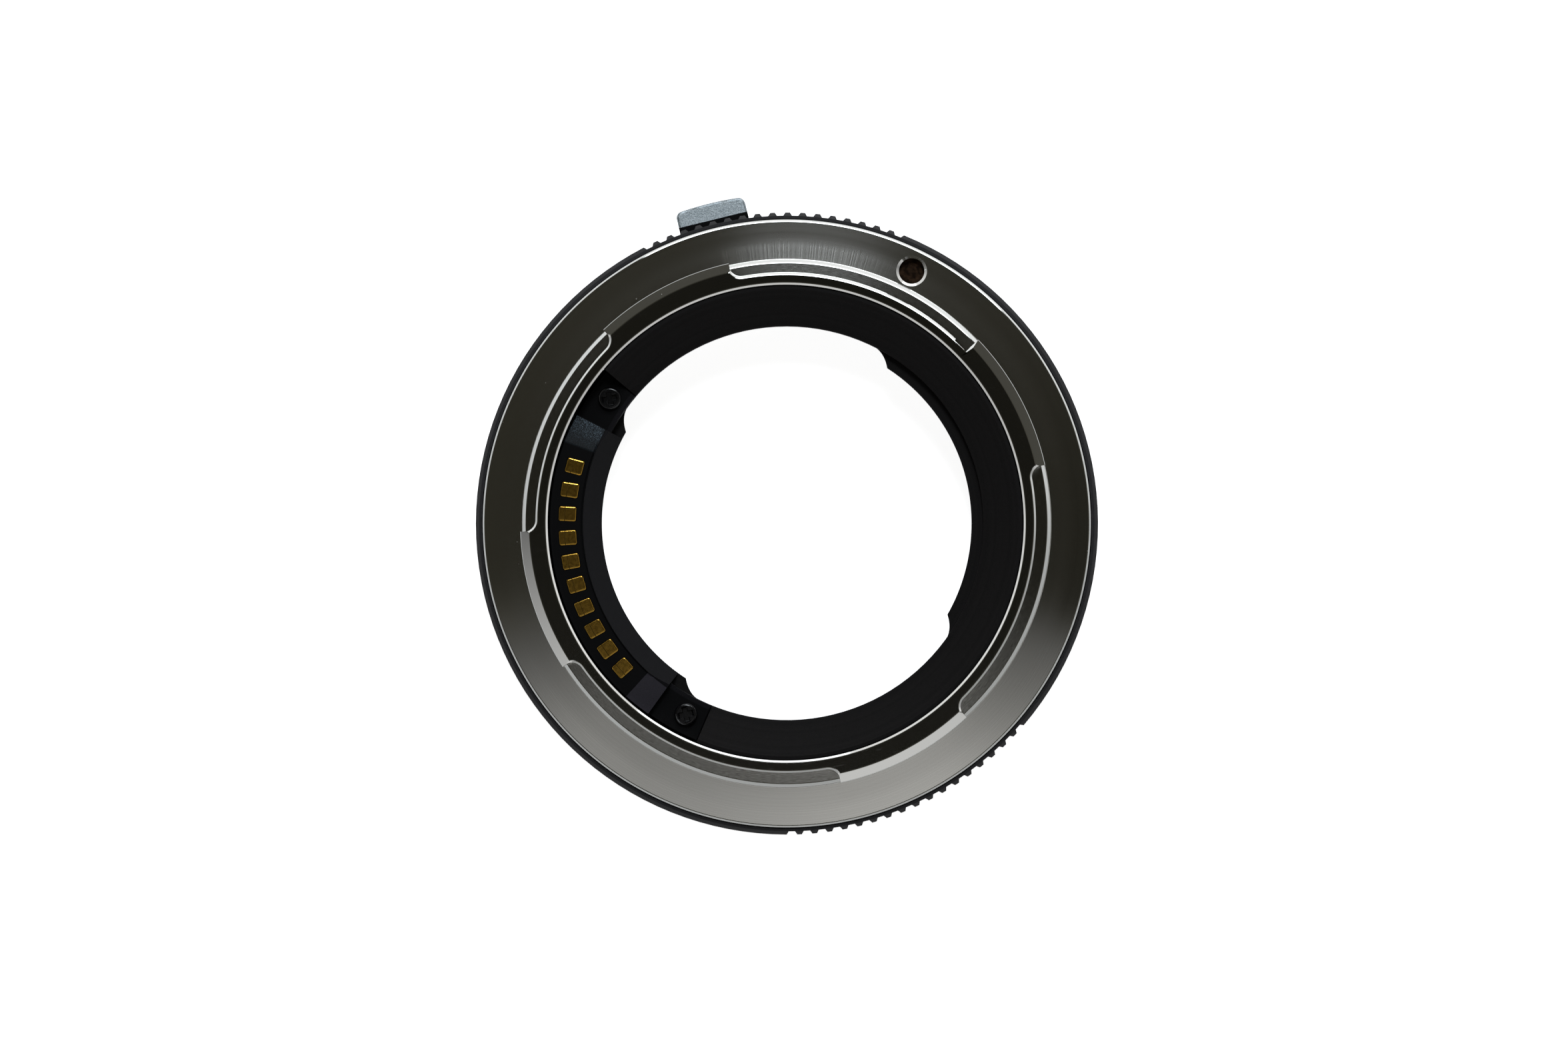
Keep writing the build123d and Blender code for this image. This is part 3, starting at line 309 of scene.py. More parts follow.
def polished_nickel():
    """The same plate on the rim, lugs and chamfers, polished: a dark mirror with a few hairlines and dust specks."""
    material, tree, place, radius = begin("polished_nickel_plate")
    turned_lines = tool_rings(tree, radius, 0.07)
    cross = add(tree, "Mapping", {"Vector": place, "Rotation": (0, 0, 0.9), "Scale": (1, 0.03, 1)})
    hairline = ramp(tree, grains(tree, cross, 0.06, 0.0), 0.8, 0.84)
    dust = specks(tree, place, 1.9, 0.026, 0.015)
    marks = maths(tree, "MULTIPLY_ADD", hairline, 0.03, ramp(tree, turned_lines, 0.3, 0.75, 0.05, 0.056))
    colour = blend(tree, turned_lines, "#d4d4d1", "#dcdcd9")
    end(tree, {
        "Base Color": blend(tree, dust, colour, "#f6f5f2"),
        "Metallic": 1.0,
        "Roughness": maths(tree, "MULTIPLY_ADD", dust, 0.5, marks),
        "Normal": relief(tree, hairline, 0.0001),
    })
    return material


def milled_nickel():
    """The collar's top, milled between the lugs and plated: a dark mirror broken by short marks along the cut.

    The marks are about 0.02 mm wide in the metal and are drawn at 0.08 mm."""
    material, tree, place, radius = begin("milled_nickel_plate")
    turn = bearing(tree, place)
    cut = add(tree, "CombineXYZ", {"X": maths(tree, "MULTIPLY", turn, 4.0), "Y": radius})
    marks = grains(tree, cut, 0.08, 2.0)
    end(tree, {
        "Base Color": blend(tree, ramp(tree, marks, 0.35, 0.65), "#c0bfb9", "#d0cfca"),
        "Metallic": 1.0,
        "Roughness": ramp(tree, marks, 0.3, 0.7, 0.1, 0.12),
        "Anisotropic": 0.9,
        "Anisotropic Rotation": 0.25,
        "Tangent": add(tree, "Tangent", direction_type="RADIAL", axis="Z"),
        "Normal": relief(tree, marks, 0.0004),
    })
    return material


def drilled_brass_painted_shade():
    """Brass at the bottom of a drilled recess, where little plating reaches: dull brown, painted near black as shade
    in the hole, with the drill's rings.
    """
    material, tree, place, _ = begin("drilled_brass_painted_shade")
    centre = tuple(on_circle(LOCK_HOLE_CENTRE_R, LOCK_HOLE_ANGLE).tolist()) + (0.0,)
    off = add(tree, "VectorMath", {0: place, 1: centre}, operation="SUBTRACT")
    off = add(tree, "VectorMath", {0: off, 1: (1, 1, 0)}, operation="MULTIPLY")
    rings = tool_rings(tree, add(tree, "VectorMath", {0: off}, out="Value", operation="LENGTH"), 0.12)
    stain = grains(tree, place, 0.5, 4.0)
    # The near-black brown is painted shade in the hole, over the brass's own dull tone.
    end(tree, {
        "Base Color": blend(tree, ramp(tree, stain, 0.35, 0.7), "#1c1510", "#3a2b20"),
        "Metallic": 1.0,
        "Roughness": ramp(tree, rings, 0.3, 0.7, 0.28, 0.42),
        "Normal": relief(tree, rings, 0.004),
    })
    return material


def black_anodised():
    """Aluminium, bead-blasted and black anodised: a soft fine grain, paler where fingers rub the rib crests.

    Blasting leaves grains of about 0.06 mm, drawn here at 0.13 mm."""
    material, tree, place, radius = begin("bead_blasted_black_anodised_aluminium")
    grain = grains(tree, place, 0.13)
    patch = grains(tree, place, 2.5)
    rub = maths(tree, "MULTIPLY", ramp(tree, radius, BODY_R - 0.3, BODY_R), ramp(tree, patch, 0.35, 0.75))
    colour = blend(tree, grain, "#0f0e10", "#1a181b")
    end(tree, {
        "Base Color": blend(tree, rub, colour, "#282528"),
        "Roughness": ramp(tree, grain, 0.3, 0.7, 0.36, 0.48),
        "Specular IOR Level": 0.35,
        "Normal": relief(tree, grain, 0.008),
    })
    return material


def light_trap_paint():
    """Matt black light-trap coating, sprayed: a velvety grain with faint rings from the turned metal under it."""
    material, tree, place, radius = begin("sprayed_matt_black_light_trap_coating")
    grain = grains(tree, place, 0.12, 3.0)
    bands = tool_rings(tree, radius, 0.45, 1.0)
    height = maths(tree, "MULTIPLY_ADD", bands, 0.35, grain)
    end(tree, {
        "Base Color": blend(tree, ramp(tree, height, 0.45, 0.85), "#0c0b0b", "#171515"),
        "Roughness": ramp(tree, grain, 0.3, 0.7, 0.55, 0.75),
        "Specular IOR Level": 0.12,
        "Normal": relief(tree, height, 0.014),
    })
    return material


def black_polyamide():
    """Glass-filled polyamide, moulded in an eroded tool: dead black with a tight grain.

    The camera's pins slide up the two end ramps, which are smoother and carry a painted highlight: a grey sparkle of
    painted glints on the ramp that they meet first, most of all at its foot, and a smooth dark grey on the other one.
    The sloped apron inside the lip is painted a lighter grey as sheen."""
    material, tree, place, radius = begin("moulded_black_polyamide")
    grain = grains(tree, place, 0.12, 2.0)
    xyz = {axis: add(tree, "SeparateXYZ", {0: place}, out=axis) for axis in "XYZ"}
    aside = maths(tree, "ABSOLUTE", xyz["X"])
    down = maths(tree, "MULTIPLY", xyz["Y"], -1.0)
    off = maths(tree, "ARCTAN2", aside, down)
    # The two end ramps: smoother, and coloured with a painted highlight.
    ramp_highlight_mask = ramp(tree, off, *np.radians(RAMP_ANGLES))
    ramp_highlight_mask = maths(tree, "MULTIPLY", ramp_highlight_mask, ramp(tree, xyz["Z"], RAMP_FOOT_Z, RAMP_FOOT_Z + FINISH_EDGE))
    ramp_highlight_mask = maths(tree, "MULTIPLY", ramp_highlight_mask, ramp(tree, radius, BLOCK_LIP_R, BLOCK_LIP_R + FINISH_EDGE))
    # Painted glints on the ramp that the pins meet first.
    painted_glints = ramp(tree, grains(tree, place, 0.09, 1.0), 0.4, 0.75)
    painted_glints = maths(tree, "MULTIPLY", painted_glints, ramp(tree, off, *np.radians(GLINT_ANGLES), 0.12, 1.0))
    glint_colour = blend(tree, painted_glints, "#0a0e11", "#52606a")
    # Painted highlight colours: a grey sparkle on one ramp, a smooth dark grey on the other.
    wear_and_highlight = blend(tree, ramp(tree, xyz["X"], -1.0, 1.0), glint_colour, blend(tree, grain, "#2e2c32", "#37353b"))
    # Painted sheen: the sloped apron inside the lip is coloured a lighter grey than the block's top.
    apron_sheen = ramp(tree, radius, BLOCK_LIP_R, BLOCK_LIP_R - FINISH_EDGE)
    colour = blend(tree, apron_sheen, blend(tree, grain, "#020203", "#060607"), blend(tree, grain, "#0b0a0d", "#171619"))
    end(tree, {
        "Base Color": blend(tree, ramp_highlight_mask, colour, wear_and_highlight),
        "Roughness": maths(tree, "MULTIPLY_ADD", ramp_highlight_mask, -0.2, 0.7),
        "Specular IOR Level": 0.1,
        "Normal": relief(tree, grain, 0.006),
    })
    return material


def black_oxide():
    """Steel screw with a black oxide skin: black and smooth, so that only its rounded edges catch the light."""
    material, tree, place, _ = begin("black_oxide_steel")
    grain = grains(tree, place, 0.1)
    end(tree, {
        "Base Color": blend(tree, grain, "#060607", "#0e0e10"),
        "Metallic": 0.0,
        "Roughness": ramp(tree, grain, 0.3, 0.7, 0.13, 0.18),
        "Normal": relief(tree, grain, 0.0005),
    })
    return material


def gold_plate():
    """Hard gold on copper alloy, stamped: a dark mirror with bright edges and the line that the camera's pins rub."""
    material, tree, place, radius = begin("stamped_hard_gold_plate")
    grain = grains(tree, place, 0.3, 3.0)
    off = maths(tree, "SUBTRACT", radius, CONTACT_WEAR_R)
    wear_and_highlight = ramp(tree, maths(tree, "ABSOLUTE", off), 0.05, 0.02)
    end(tree, {
        "Base Color": blend(tree, wear_and_highlight, blend(tree, grain, "#c59a3e", "#d2a84e"), "#4f3e1c"),
        "Metallic": 1.0,
        "Roughness": maths(tree, "MULTIPLY_ADD", wear_and_highlight, 0.15, ramp(tree, grain, 0.3, 0.7, 0.13, 0.16)),
        "Normal": relief(tree, grain, 0.0004),
    })
    return material


def satin_silver():
    """Aluminium cap, bead-blasted and clear anodised: a cool grey that sparkles where single dents catch the light.

    The dents are about 0.05 mm across and are drawn at 0.1 mm."""
    material, tree, place, _ = begin("bead_blasted_clear_anodised_aluminium")
    dents = add(tree, "TexVoronoi", {"Vector": place, "Scale": 1 / 0.1}, feature="SMOOTH_F1")
    tint = grains(tree, place, 0.12)
    end(tree, {
        "Base Color": blend(tree, ramp(tree, tint, 0.35, 0.65), "#929ba0", "#bec6ca"),
        "Metallic": 1.0,
        "Roughness": ramp(tree, tint, 0.3, 0.7, 0.42, 0.56),
        "Normal": relief(tree, dents, 0.012),
    })
    return material


def machined_steel(name, colours, spacing, rough):
    """Plain steel, drawn or turned: streaks along the grain break up its shine."""
    material, tree, place, _ = begin(name)
    streak = grains(tree, add(tree, "Mapping", {"Vector": place, "Scale": (1.0, 1.0, 0.2)}), spacing, 3.0)
    end(tree, {
        "Base Color": blend(tree, streak, *colours),
        "Metallic": 1.0,
        "Roughness": ramp(tree, streak, 0.3, 0.7, rough - 0.06, rough + 0.08),
        "Normal": relief(tree, streak, 0.001),
    })
    return material


def rolled_brass():
    """Rolled brass shim: warm and bright, with long rolling lines."""
    material, tree, place, _ = begin("rolled_brass")
    lines = grains(tree, add(tree, "Mapping", {"Vector": place, "Scale": (1.0, 0.05, 1.0)}), 0.15, 3.0)
    end(tree, {
        "Base Color": blend(tree, lines, "#b08d48", "#d0b06a"),
        "Metallic": 1.0,
        "Roughness": ramp(tree, lines, 0.3, 0.7, 0.22, 0.36),
        "Normal": relief(tree, lines, 0.001),
    })
    return material


def amber_film():
    """Polyimide film with etched copper inside: glossy amber with darker tracks side by side along the curve."""
    material, tree, place, radius = begin("polyimide_film")
    track = maths(tree, "FRACT", maths(tree, "DIVIDE", radius, 0.5))
    track = ramp(tree, track, 0.45, 0.55)
    end(tree, {
        "Base Color": blend(tree, track, "#b07a2c", "#7c4a1c"),
        "Roughness": ramp(tree, grains(tree, place, 0.6), 0.3, 0.7, 0.24, 0.36),
        "Normal": relief(tree, track, 0.01),
    })
    return material


def solder_mask():
    """Glass-epoxy board under green solder mask: glossy, with tracks that show through as a lighter green."""
    material, tree, place, radius = begin("solder_mask_on_glass_epoxy")
    weave = grains(tree, place, 0.3)
    track = ramp(tree, tool_rings(tree, radius, 0.5, 0.0), 0.48, 0.54)
    end(tree, {
        "Base Color": blend(tree, track, blend(tree, weave, "#164a2c", "#1c5834"), "#2b7448"),
        "Roughness": ramp(tree, weave, 0.3, 0.7, 0.28, 0.4),
        "Normal": relief(tree, track, 0.012),
    })
    return material


def filter_window():
    """Dyed acrylic that passes infrared: almost black and glossy, deep red in strong light, with fine wipe marks."""
    material, tree, place, _ = begin("dyed_acrylic")
    wipe = grains(tree, add(tree, "Mapping", {"Vector": place, "Scale": (1.0, 0.15, 1.0)}), 0.3)
    end(tree, {
        "Base Color": blend(tree, wipe, "#140609", "#1e0a0e"),
        "IOR": 1.49,
        "Roughness": ramp(tree, wipe, 0.4, 0.8, 0.05, 0.14),
    })
    return material


def white_enamel():
    """White enamel filled into a drilled dot: glossy, a little domed by surface tension, faintly dirty."""
    material, tree, place, _ = begin("white_enamel_fill")
    dirt = grains(tree, place, 0.35, 4.0)
    end(tree, {
        "Base Color": blend(tree, ramp(tree, dirt, 0.5, 0.8), "#e9e7e0", "#cfccc2"),
        "Roughness": ramp(tree, dirt, 0.3, 0.7, 0.22, 0.34),
        "Normal": relief(tree, dirt, 0.004),
    })
    return material


TURNED = turned_nickel()
POLISHED = polished_nickel()
MILLED = milled_nickel()
DRILLED = drilled_brass_painted_shade()
SCREW_BLACK = black_oxide()
SPRING_STEEL = machined_steel("drawn_spring_steel", ("#8f8f8d", "#b4b4b2"), 0.12, 0.3)
SLOTS = {
    "black_anodised": black_anodised(),
    "polished_steel": TURNED,
    "screw_steel": machined_steel("turned_steel", ("#9a9a98", "#bcbcba"), 0.18, 0.34),
    "spring_steel": SPRING_STEEL,
    "matt_black_paint": light_trap_paint(),
    "black_moulding": black_polyamide(),
    "black_screw": SCREW_BLACK,
    "gold_plate": gold_plate(),
    "flex_film": amber_film(),
    "board": solder_mask(),
    "dark_window": filter_window(),
    "shim_brass": rolled_brass(),
    "satin_silver": satin_silver(),
    "white_enamel": white_enamel(),
}
for part in frame["record"]["subparts"]:
    obj = frame["nodes"][part["node"]]
    obj.data.materials.clear()
    obj.data.materials.append(SLOTS[part["material_slot"]])
# Painted shade: the slide under the button cap takes the darker moulded black instead of its anodised slot, for the
# shade under the cap and ribs.
frame["nodes"][BUTTON_SLIDE].data.materials[0] = SLOTS["black_moulding"]


# New pieces


def lifted(plan, height):
    """Points in plan, each at its height."""
    return np.column_stack([plan, np.broadcast_to(height, len(plan))])


def eased(corners):
    """Outline of (radius, z) corners with each inner corner cut back by the easing along both its sides."""
    corners = np.array(corners)
    back = corners[:-2] - corners[1:-1]
    ahead = corners[2:] - corners[1:-1]
    pair = [corners[1:-1] + EASE * v / np.linalg.norm(v, axis=1, keepdims=True) for v in (back, ahead)]
    return np.concatenate([corners[:1], np.stack(pair, 1).reshape(-1, 2), corners[-1:]])


def new_piece(name, patches, materials, nodes, sharp=12.0):
    """Mesh of grids of points in millimetres, welded where they meet, with edges sharp past an angle.

    A patch is its grid of points, whether its rows close on themselves, its material's number and which of
    its quads stay (all of them where that is None)."""
    points, faces, finish, start = [], [], [], 0
    for grid, around, number, stay in patches:
        index = start + np.arange(grid.shape[0] * grid.shape[1]).reshape(grid.shape[:2])
        if around:
            index = np.hstack([index, index[:, :1]])
        quads = np.stack([index[:-1, :-1], index[:-1, 1:], index[1:, 1:], index[1:, :-1]], -1).reshape(-1, 4)
        quads = quads if stay is None else quads[stay.ravel()]
        points.append(grid.reshape(-1, 3))
        faces.append(quads)
        finish.append(np.full(len(quads), number))
        start += grid.shape[0] * grid.shape[1]
    mesh = bpy.data.meshes.new(name)
    mesh.from_pydata((np.concatenate(points) * MM).tolist(), [], np.concatenate(faces).tolist())
    for material in materials:
        mesh.materials.append(material)
    mesh.polygons.foreach_set("material_index", np.concatenate(finish))
    shell = bmesh.new()
    shell.from_mesh(mesh)
    bmesh.ops.remove_doubles(shell, verts=shell.verts, dist=WELD * MM)
    bmesh.ops.recalc_face_normals(shell, faces=shell.faces)
    shell.to_mesh(mesh)
    shell.free()
    mesh.polygons.foreach_set("use_smooth", np.ones(len(mesh.polygons), bool))
    mesh.set_sharp_from_angle(angle=math.radians(sharp))
    obj = bpy.data.objects.new(name, mesh)
    bpy.context.scene.collection.objects.link(obj)
    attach(obj, "root")
    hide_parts(*nodes)
    return obj


def lug_outline():
    """Outline of the lug storey once round, the outline of its flat top, and how far its wall stops below the rim.

    Round each lug the outline runs along a milled fillet, tangent to the tube and to the lug's radial side,
    along the lug's arc, back down a fillet or a square side, and along the tube to the next lug."""
    beta = math.degrees(math.asin(LUG_FILLET / (TUBE_R + LUG_FILLET)))
    inset = math.degrees(RIM_CHAMFER / (LUG_R - LEAD_IN_W))
    starts = np.array(LUG_MIDDLES) - LUG_ANGLE / 2
    ends = starts + LUG_ANGLE
    nexts = np.append(starts[1:], starts[0] + 360) - beta
    runs = []
    for i, (a, b, c) in enumerate(zip(starts, ends, nexts)):
        turn = np.linspace(a - beta + 180, a + 90, 12)
        middle = on_circle(TUBE_R + LUG_FILLET, a - beta)
        runs.append((middle + on_circle(LUG_FILLET, turn), middle + on_circle(LUG_FILLET + RIM_CHAMFER, turn),
                     RIM_CHAMFER))
        turn = np.linspace(a, b, 40)
        runs.append((on_circle(LUG_R, turn), on_circle(LUG_R - LEAD_IN_W, np.clip(turn, a + inset, b - inset)),
                     LEAD_IN_DROP))
        if i == SQUARE_LUG:
            turn = np.linspace(b, b + RELIEF_ANGLE, 8)
            top_turn = np.append(b - inset, turn[1:])
            runs.append((on_circle(TUBE_R - RELIEF_DEPTH, turn), on_circle(TUBE_R - RIM_CHAMFER, top_turn),
                         RIM_CHAMFER - RELIEF_DEPTH))
            turn = np.linspace(b + RELIEF_ANGLE, c, 64)
        else:
            turn = np.linspace(b - 90, b + beta - 180, 12)
            middle = on_circle(TUBE_R + LUG_FILLET, b + beta)
            runs.append((middle + on_circle(LUG_FILLET, turn),
                         middle + on_circle(LUG_FILLET + RIM_CHAMFER, turn), RIM_CHAMFER))
            turn = np.linspace(b + beta, c, 64)
        runs.append((on_circle(TUBE_R, turn), on_circle(TUBE_R - RIM_CHAMFER, turn), RIM_CHAMFER))
    plan = np.concatenate([r[0] for r in runs])
    top = np.concatenate([r[1] for r in runs])
    drop = np.concatenate([np.full(len(r[0]), r[2]) for r in runs])
    reach = np.linalg.norm(top, axis=1, keepdims=True)
    return plan, top * np.minimum(1, (LUG_R - LEAD_IN_W) / reach), drop


def camera_bayonet():
    """Flange, pilot collar, tube and lugs: rows of a turned profile, then rows that follow the lugs' outline.

    A wall stops at the lower of its chamfer and the lead-in cone, which falls by its drop over its width. The
    lock recess is a ring of quads between a patch left out of the flange face and the recess's mouth."""
    plan, top, drop = lug_outline()
    radius = np.linalg.norm(plan, axis=1)
    spoke = plan / radius[:, None]
    tube = spoke * TUBE_R
    lean = LEAD_IN_DROP / LEAD_IN_W
    wall = np.minimum(RIM_Z - drop, RIM_Z - LEAD_IN_DROP + (LUG_R - radius) * lean)

    def turned(profile):
        return np.stack([lifted(spoke * r, z) for r, z in profile])

    # Eased rows: up to 4 the flange's edge, to 5 its face, to 10 the collar, to 11 its top, then the tube
    edge = eased([
        (FLANGE_R, FLANGE_SEAT_Z),
        (FLANGE_R, FLANGE_Z - FLANGE_CHAMFER),
        (FLANGE_R - FLANGE_CHAMFER, FLANGE_Z),
        (COLLAR_R, FLANGE_Z),
        (COLLAR_R, COLLAR_Z - COLLAR_CHAMFER),
        (COLLAR_R - COLLAR_CHAMFER, COLLAR_Z),
        (TUBE_R, COLLAR_Z),
        (TUBE_R, LUG_Z),
    ])
    face = turned([(r, FLANGE_Z) for r in np.linspace(edge[4][0], edge[5][0], 10)])

    angle = np.degrees(np.arctan2(plan[:, 1], plan[:, 0]))
    near = np.flatnonzero(np.abs(angle - LOCK_HOLE_ANGLE) < LOCK_PATCH_ANGLE)
    first, last = near[0], near[-1]
    stay = np.ones((len(face) - 1, len(plan)), bool)
    stay[:, first:last] = False
    loop = np.concatenate([
        face[0, first:last], face[:-1, last], face[-1, last:first:-1], face[:0:-1, first],
    ])
    middle = on_circle(LOCK_HOLE_CENTRE_R, LOCK_HOLE_ANGLE)
    out = loop[:, :2] - middle
    out /= np.linalg.norm(out, axis=1, keepdims=True)
    mouth = LOCK_HOLE_R + LOCK_HOLE_CHAMFER
    bore = [(mouth, FLANGE_Z), (LOCK_HOLE_R, FLANGE_Z - LOCK_HOLE_CHAMFER_DROP), (LOCK_HOLE_R, LOCK_HOLE_Z),
            (0, LOCK_HOLE_Z)]
    recess = np.stack([loop] + [lifted(middle + out * r, z) for r, z in bore])

    reach = plan - tube
    under = np.stack([
        lifted(tube, LUG_Z),
        lifted(tube + reach * UNDER_SHARE, LUG_Z),
        lifted(plan, LUG_Z + EASE * (np.linalg.norm(reach, axis=1) > EASE)),
    ])
    low = lifted(plan, wall)
    high = lifted(top, RIM_Z)
    ease = np.where(radius > LUG_R - LEAD_IN_W, LUG_EASE, EASE)
    share = 1 / np.linalg.norm(high - low, axis=1)
    slope = np.stack([
        lifted(plan, wall - ease),
        low + (high - low) * (ease * share)[:, None],
        high - (high - low) * (EASE * share)[:, None],
    ])
    rim = eased([
        (TUBE_R, RIM_Z),
        (TUBE_BORE_R + RIM_CHAMFER, RIM_Z),
        (TUBE_BORE_R, RIM_Z - RIM_CHAMFER),
        (TUBE_BORE_R, FLANGE_SEAT_Z),
        (FLANGE_R, FLANGE_SEAT_Z),
    ])
    storey = np.concatenate([under, slope, lifted(top - EASE * spoke, RIM_Z)[None], turned(rim[1:])])
    finishes = [TURNED, MILLED, POLISHED, DRILLED]
    faced, milled, polished, drilled = range(len(finishes))
    patches = [
        (turned(edge[:5]), True, polished, None),
        (face, True, faced, stay),
        (turned(edge[5:11]), True, polished, None),
        (turned(edge[10:12]), True, milled, None),
        (turned(edge[11:]), True, polished, None),
        (storey, True, polished, None),
        (recess[:2], True, faced, None),
        (recess[1:3], True, polished, None),
        (recess[2:], True, drilled, None),
    ]
    new_piece("camera_bayonet_machined", patches, finishes, ["camera_bayonet"])


def block_screws():
    """Pan heads with a cross recess, as loops about the screw's axis.

    The cross's radius is its reach over the cosine of the angle from an arm, up to the arm's corner, and then the
    arm's half width over the sine. The head's edge falls off along a quarter ellipse."""
    corner = math.degrees(math.atan2(CROSS_W / 2, CROSS_REACH))
    arm = np.append(np.linspace(0, corner, 6)[:-1], np.linspace(corner, 45, 11))
    arm = np.append(-arm[:0:-1], arm[:-1])
    turn = np.add.outer(np.arange(4) * 90, arm).ravel()
    lean = np.radians(np.tile(np.abs(arm), 4))
    side = np.maximum(np.sin(lean), 1e-6)

    def cross(half_width, reach):
        return np.minimum(reach / np.cos(lean), half_width / side)

    fall = np.linspace(0, np.pi / 2, 10)
    floor_z = SCREW_HEAD_H - CROSS_DEPTH
    loops = [
        (0.0, floor_z),
        (cross(CROSS_W * CROSS_FLOOR[0], CROSS_REACH * CROSS_FLOOR[1]), floor_z),
        (cross(CROSS_W / 2, CROSS_REACH), SCREW_HEAD_H - CROSS_EDGE),
        (cross(CROSS_W / 2 + CROSS_EDGE, CROSS_REACH + CROSS_EDGE), SCREW_HEAD_H),
        (SCREW_FLAT_R - FLAT_MARGIN, SCREW_HEAD_H),
    ]
    loops += [(SCREW_FLAT_R + (SCREW_HEAD_R - SCREW_FLAT_R) * math.sin(f),
               SCREW_HEAD_H - SCREW_EDGE_H * (1 - math.cos(f))) for f in fall]
    end_z = SCREW_END_Z - SCREW_Z
    loops += [(SCREW_HEAD_R, 0.0), (SCREW_R, 0.0), (SCREW_R, end_z), (0.0, end_z)]
    screw = np.stack([lifted(on_circle(np.broadcast_to(r, len(turn)), turn), z) for r, z in loops])
    patches = [(screw + np.append(on_circle(SCREW_CIRCLE_R, angle), SCREW_Z), True, 0, None)
               for angle in SCREW_ANGLES]
    new_piece("block_screws_cross_head", patches, [SCREW_BLACK], ["contact_block_screws"], 30.0)


def return_springs():
    """Round wire on a helix along X: a circle is carried round the coil while it moves along its length."""
    along = np.linspace(0, 1, SPRING_TURNS * 28 + 1)[:, None]
    round_wire = np.linspace(0, 2 * np.pi, 12, endpoint=False)[None]
    turn = 2 * np.pi * SPRING_TURNS * along
    coil_r = SPRING_R + SPRING_WIRE_R * np.cos(round_wire)
    x = SPRING_START_X + (SPRING_END_X - SPRING_START_X) * along + SPRING_WIRE_R * np.sin(round_wire)
    wire = np.stack([x, coil_r * np.cos(turn), SPRING_Z + coil_r * np.sin(turn)], -1)
    caps = [np.stack([np.broadcast_to(e.mean(0), e.shape), e]) for e in (wire[0], wire[-1])]
    for i, side in enumerate((1, -1), 1):
        aside = np.array([0, side * SPRING_Y, 0])
        patches = [(grid + aside, True, 0, None) for grid in [wire] + caps]
        name = f"button_spring_{i}"
        obj = new_piece(name + "_coil", patches, [SPRING_STEEL], [name], 60.0)
        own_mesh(obj)


def rounded_rectangle(half_length, half_width, corner):
    """Loop of points round a rectangle with rounded corners: a quarter circle about each corner's centre."""
    turn = np.add.outer(np.arange(4) * 90, np.linspace(0, 90, 9))
    side = np.array([(1, 1), (-1, 1), (-1, -1), (1, -1)])[:, None]
    centre = side * (half_length - corner, half_width - corner)
    return (centre + on_circle(corner, turn)).reshape(-1, 2)


def contact_pads():
    """Flat pads on tails: the same rounded loop at each height, drawn in along a quarter circle at the top edge."""
    fall = np.radians(np.linspace(0, 90, 7))
    half = np.array(PAD_SIZE) / 2
    tail = np.array(TAIL_SIZE) / 2
    loops = [
        (tail * 0, 0.0, TAIL_END_Z),
        (tail, TAIL_CORNER, TAIL_END_Z),
        (tail, TAIL_CORNER, PAD_Z[0]),
        (half, PAD_CORNER, PAD_Z[0]),
    ]
    loops += [(half - PAD_EDGE * (1 - np.cos(f)), PAD_CORNER - PAD_EDGE * (1 - np.cos(f)),
               PAD_Z[1] - PAD_EDGE * (1 - np.sin(f))) for f in fall]
    loops += [(half - PAD_EDGE - FLAT_MARGIN, PAD_CORNER - PAD_EDGE, PAD_Z[1]), (tail * 0, 0.0, PAD_Z[1])]
    grid = np.stack([lifted(rounded_rectangle(*size, corner), z) for size, corner, z in loops])
    grid[..., 0] += PAD_CENTRE_R
    for i, angle in enumerate(PAD_ANGLES, 1):
        c, s = math.cos(math.radians(angle)), math.sin(math.radians(angle))
        placed = grid @ np.array([(c, s, 0), (-s, c, 0), (0, 0, 1)])
        name = f"contact_{i:02d}"
        new_piece(name + "_stamped", [(placed, True, 0, None)], [SLOTS["gold_plate"]], [name], 40.0)


def light_mask():
    """Thin ring whose edge dips inwards in two arcs; an arc's end rises to the clear opening along a parabola, so
    the radius falls short of the opening's by the square of the angle still to go."""
    past = np.linspace(0, 1, 20)
    half = MASK_ARC_ANGLE / 2
    off = np.concatenate([
        np.linspace(0, half, 60)[:-1], half + MASK_END_ANGLE * past, np.linspace(half + MASK_END_ANGLE, 90, 12)[1:],
    ])
    share = 1 - (1 - np.clip((off - half) / MASK_END_ANGLE, 0, 1)) ** 2
    inner = MASK_ARC_R + (MASK_CLEAR_R - MASK_ARC_R) * share
    quarter = np.concatenate([90 - off[:0:-1], 90 + off[:-1]])
    turn = np.concatenate([quarter, quarter + 180])
    inner = np.tile(np.concatenate([inner[:0:-1], inner[:-1]]), 2)
    low, high = MASK_Z
    rows = [(MASK_R, low), (inner + EASE, low), (inner, low + EASE), (inner, high - EASE), (inner + EASE, high),
            (MASK_R, high), (MASK_R, low)]
    grid = np.stack([lifted(on_circle(np.broadcast_to(r, len(turn)), turn), z) for r, z in rows])
    new_piece("light_mask_milled", [(grid, True, 0, None)], [SLOTS["matt_black_paint"]],
              ["light_baffle"], 30.0)


camera_bayonet()
block_screws()
light_mask()
contact_pads()
return_springs()


# Studio


def look_at(obj, target, up):
    """Turn an object so that its -Z points at the target and its +Y along up."""
    back = (obj.location - target).normalized()
    right = up.cross(back).normalized()
    obj.rotation_mode = "QUATERNION"
    obj.rotation_quaternion = Matrix((right, back.cross(right), back)).transposed().to_quaternion()


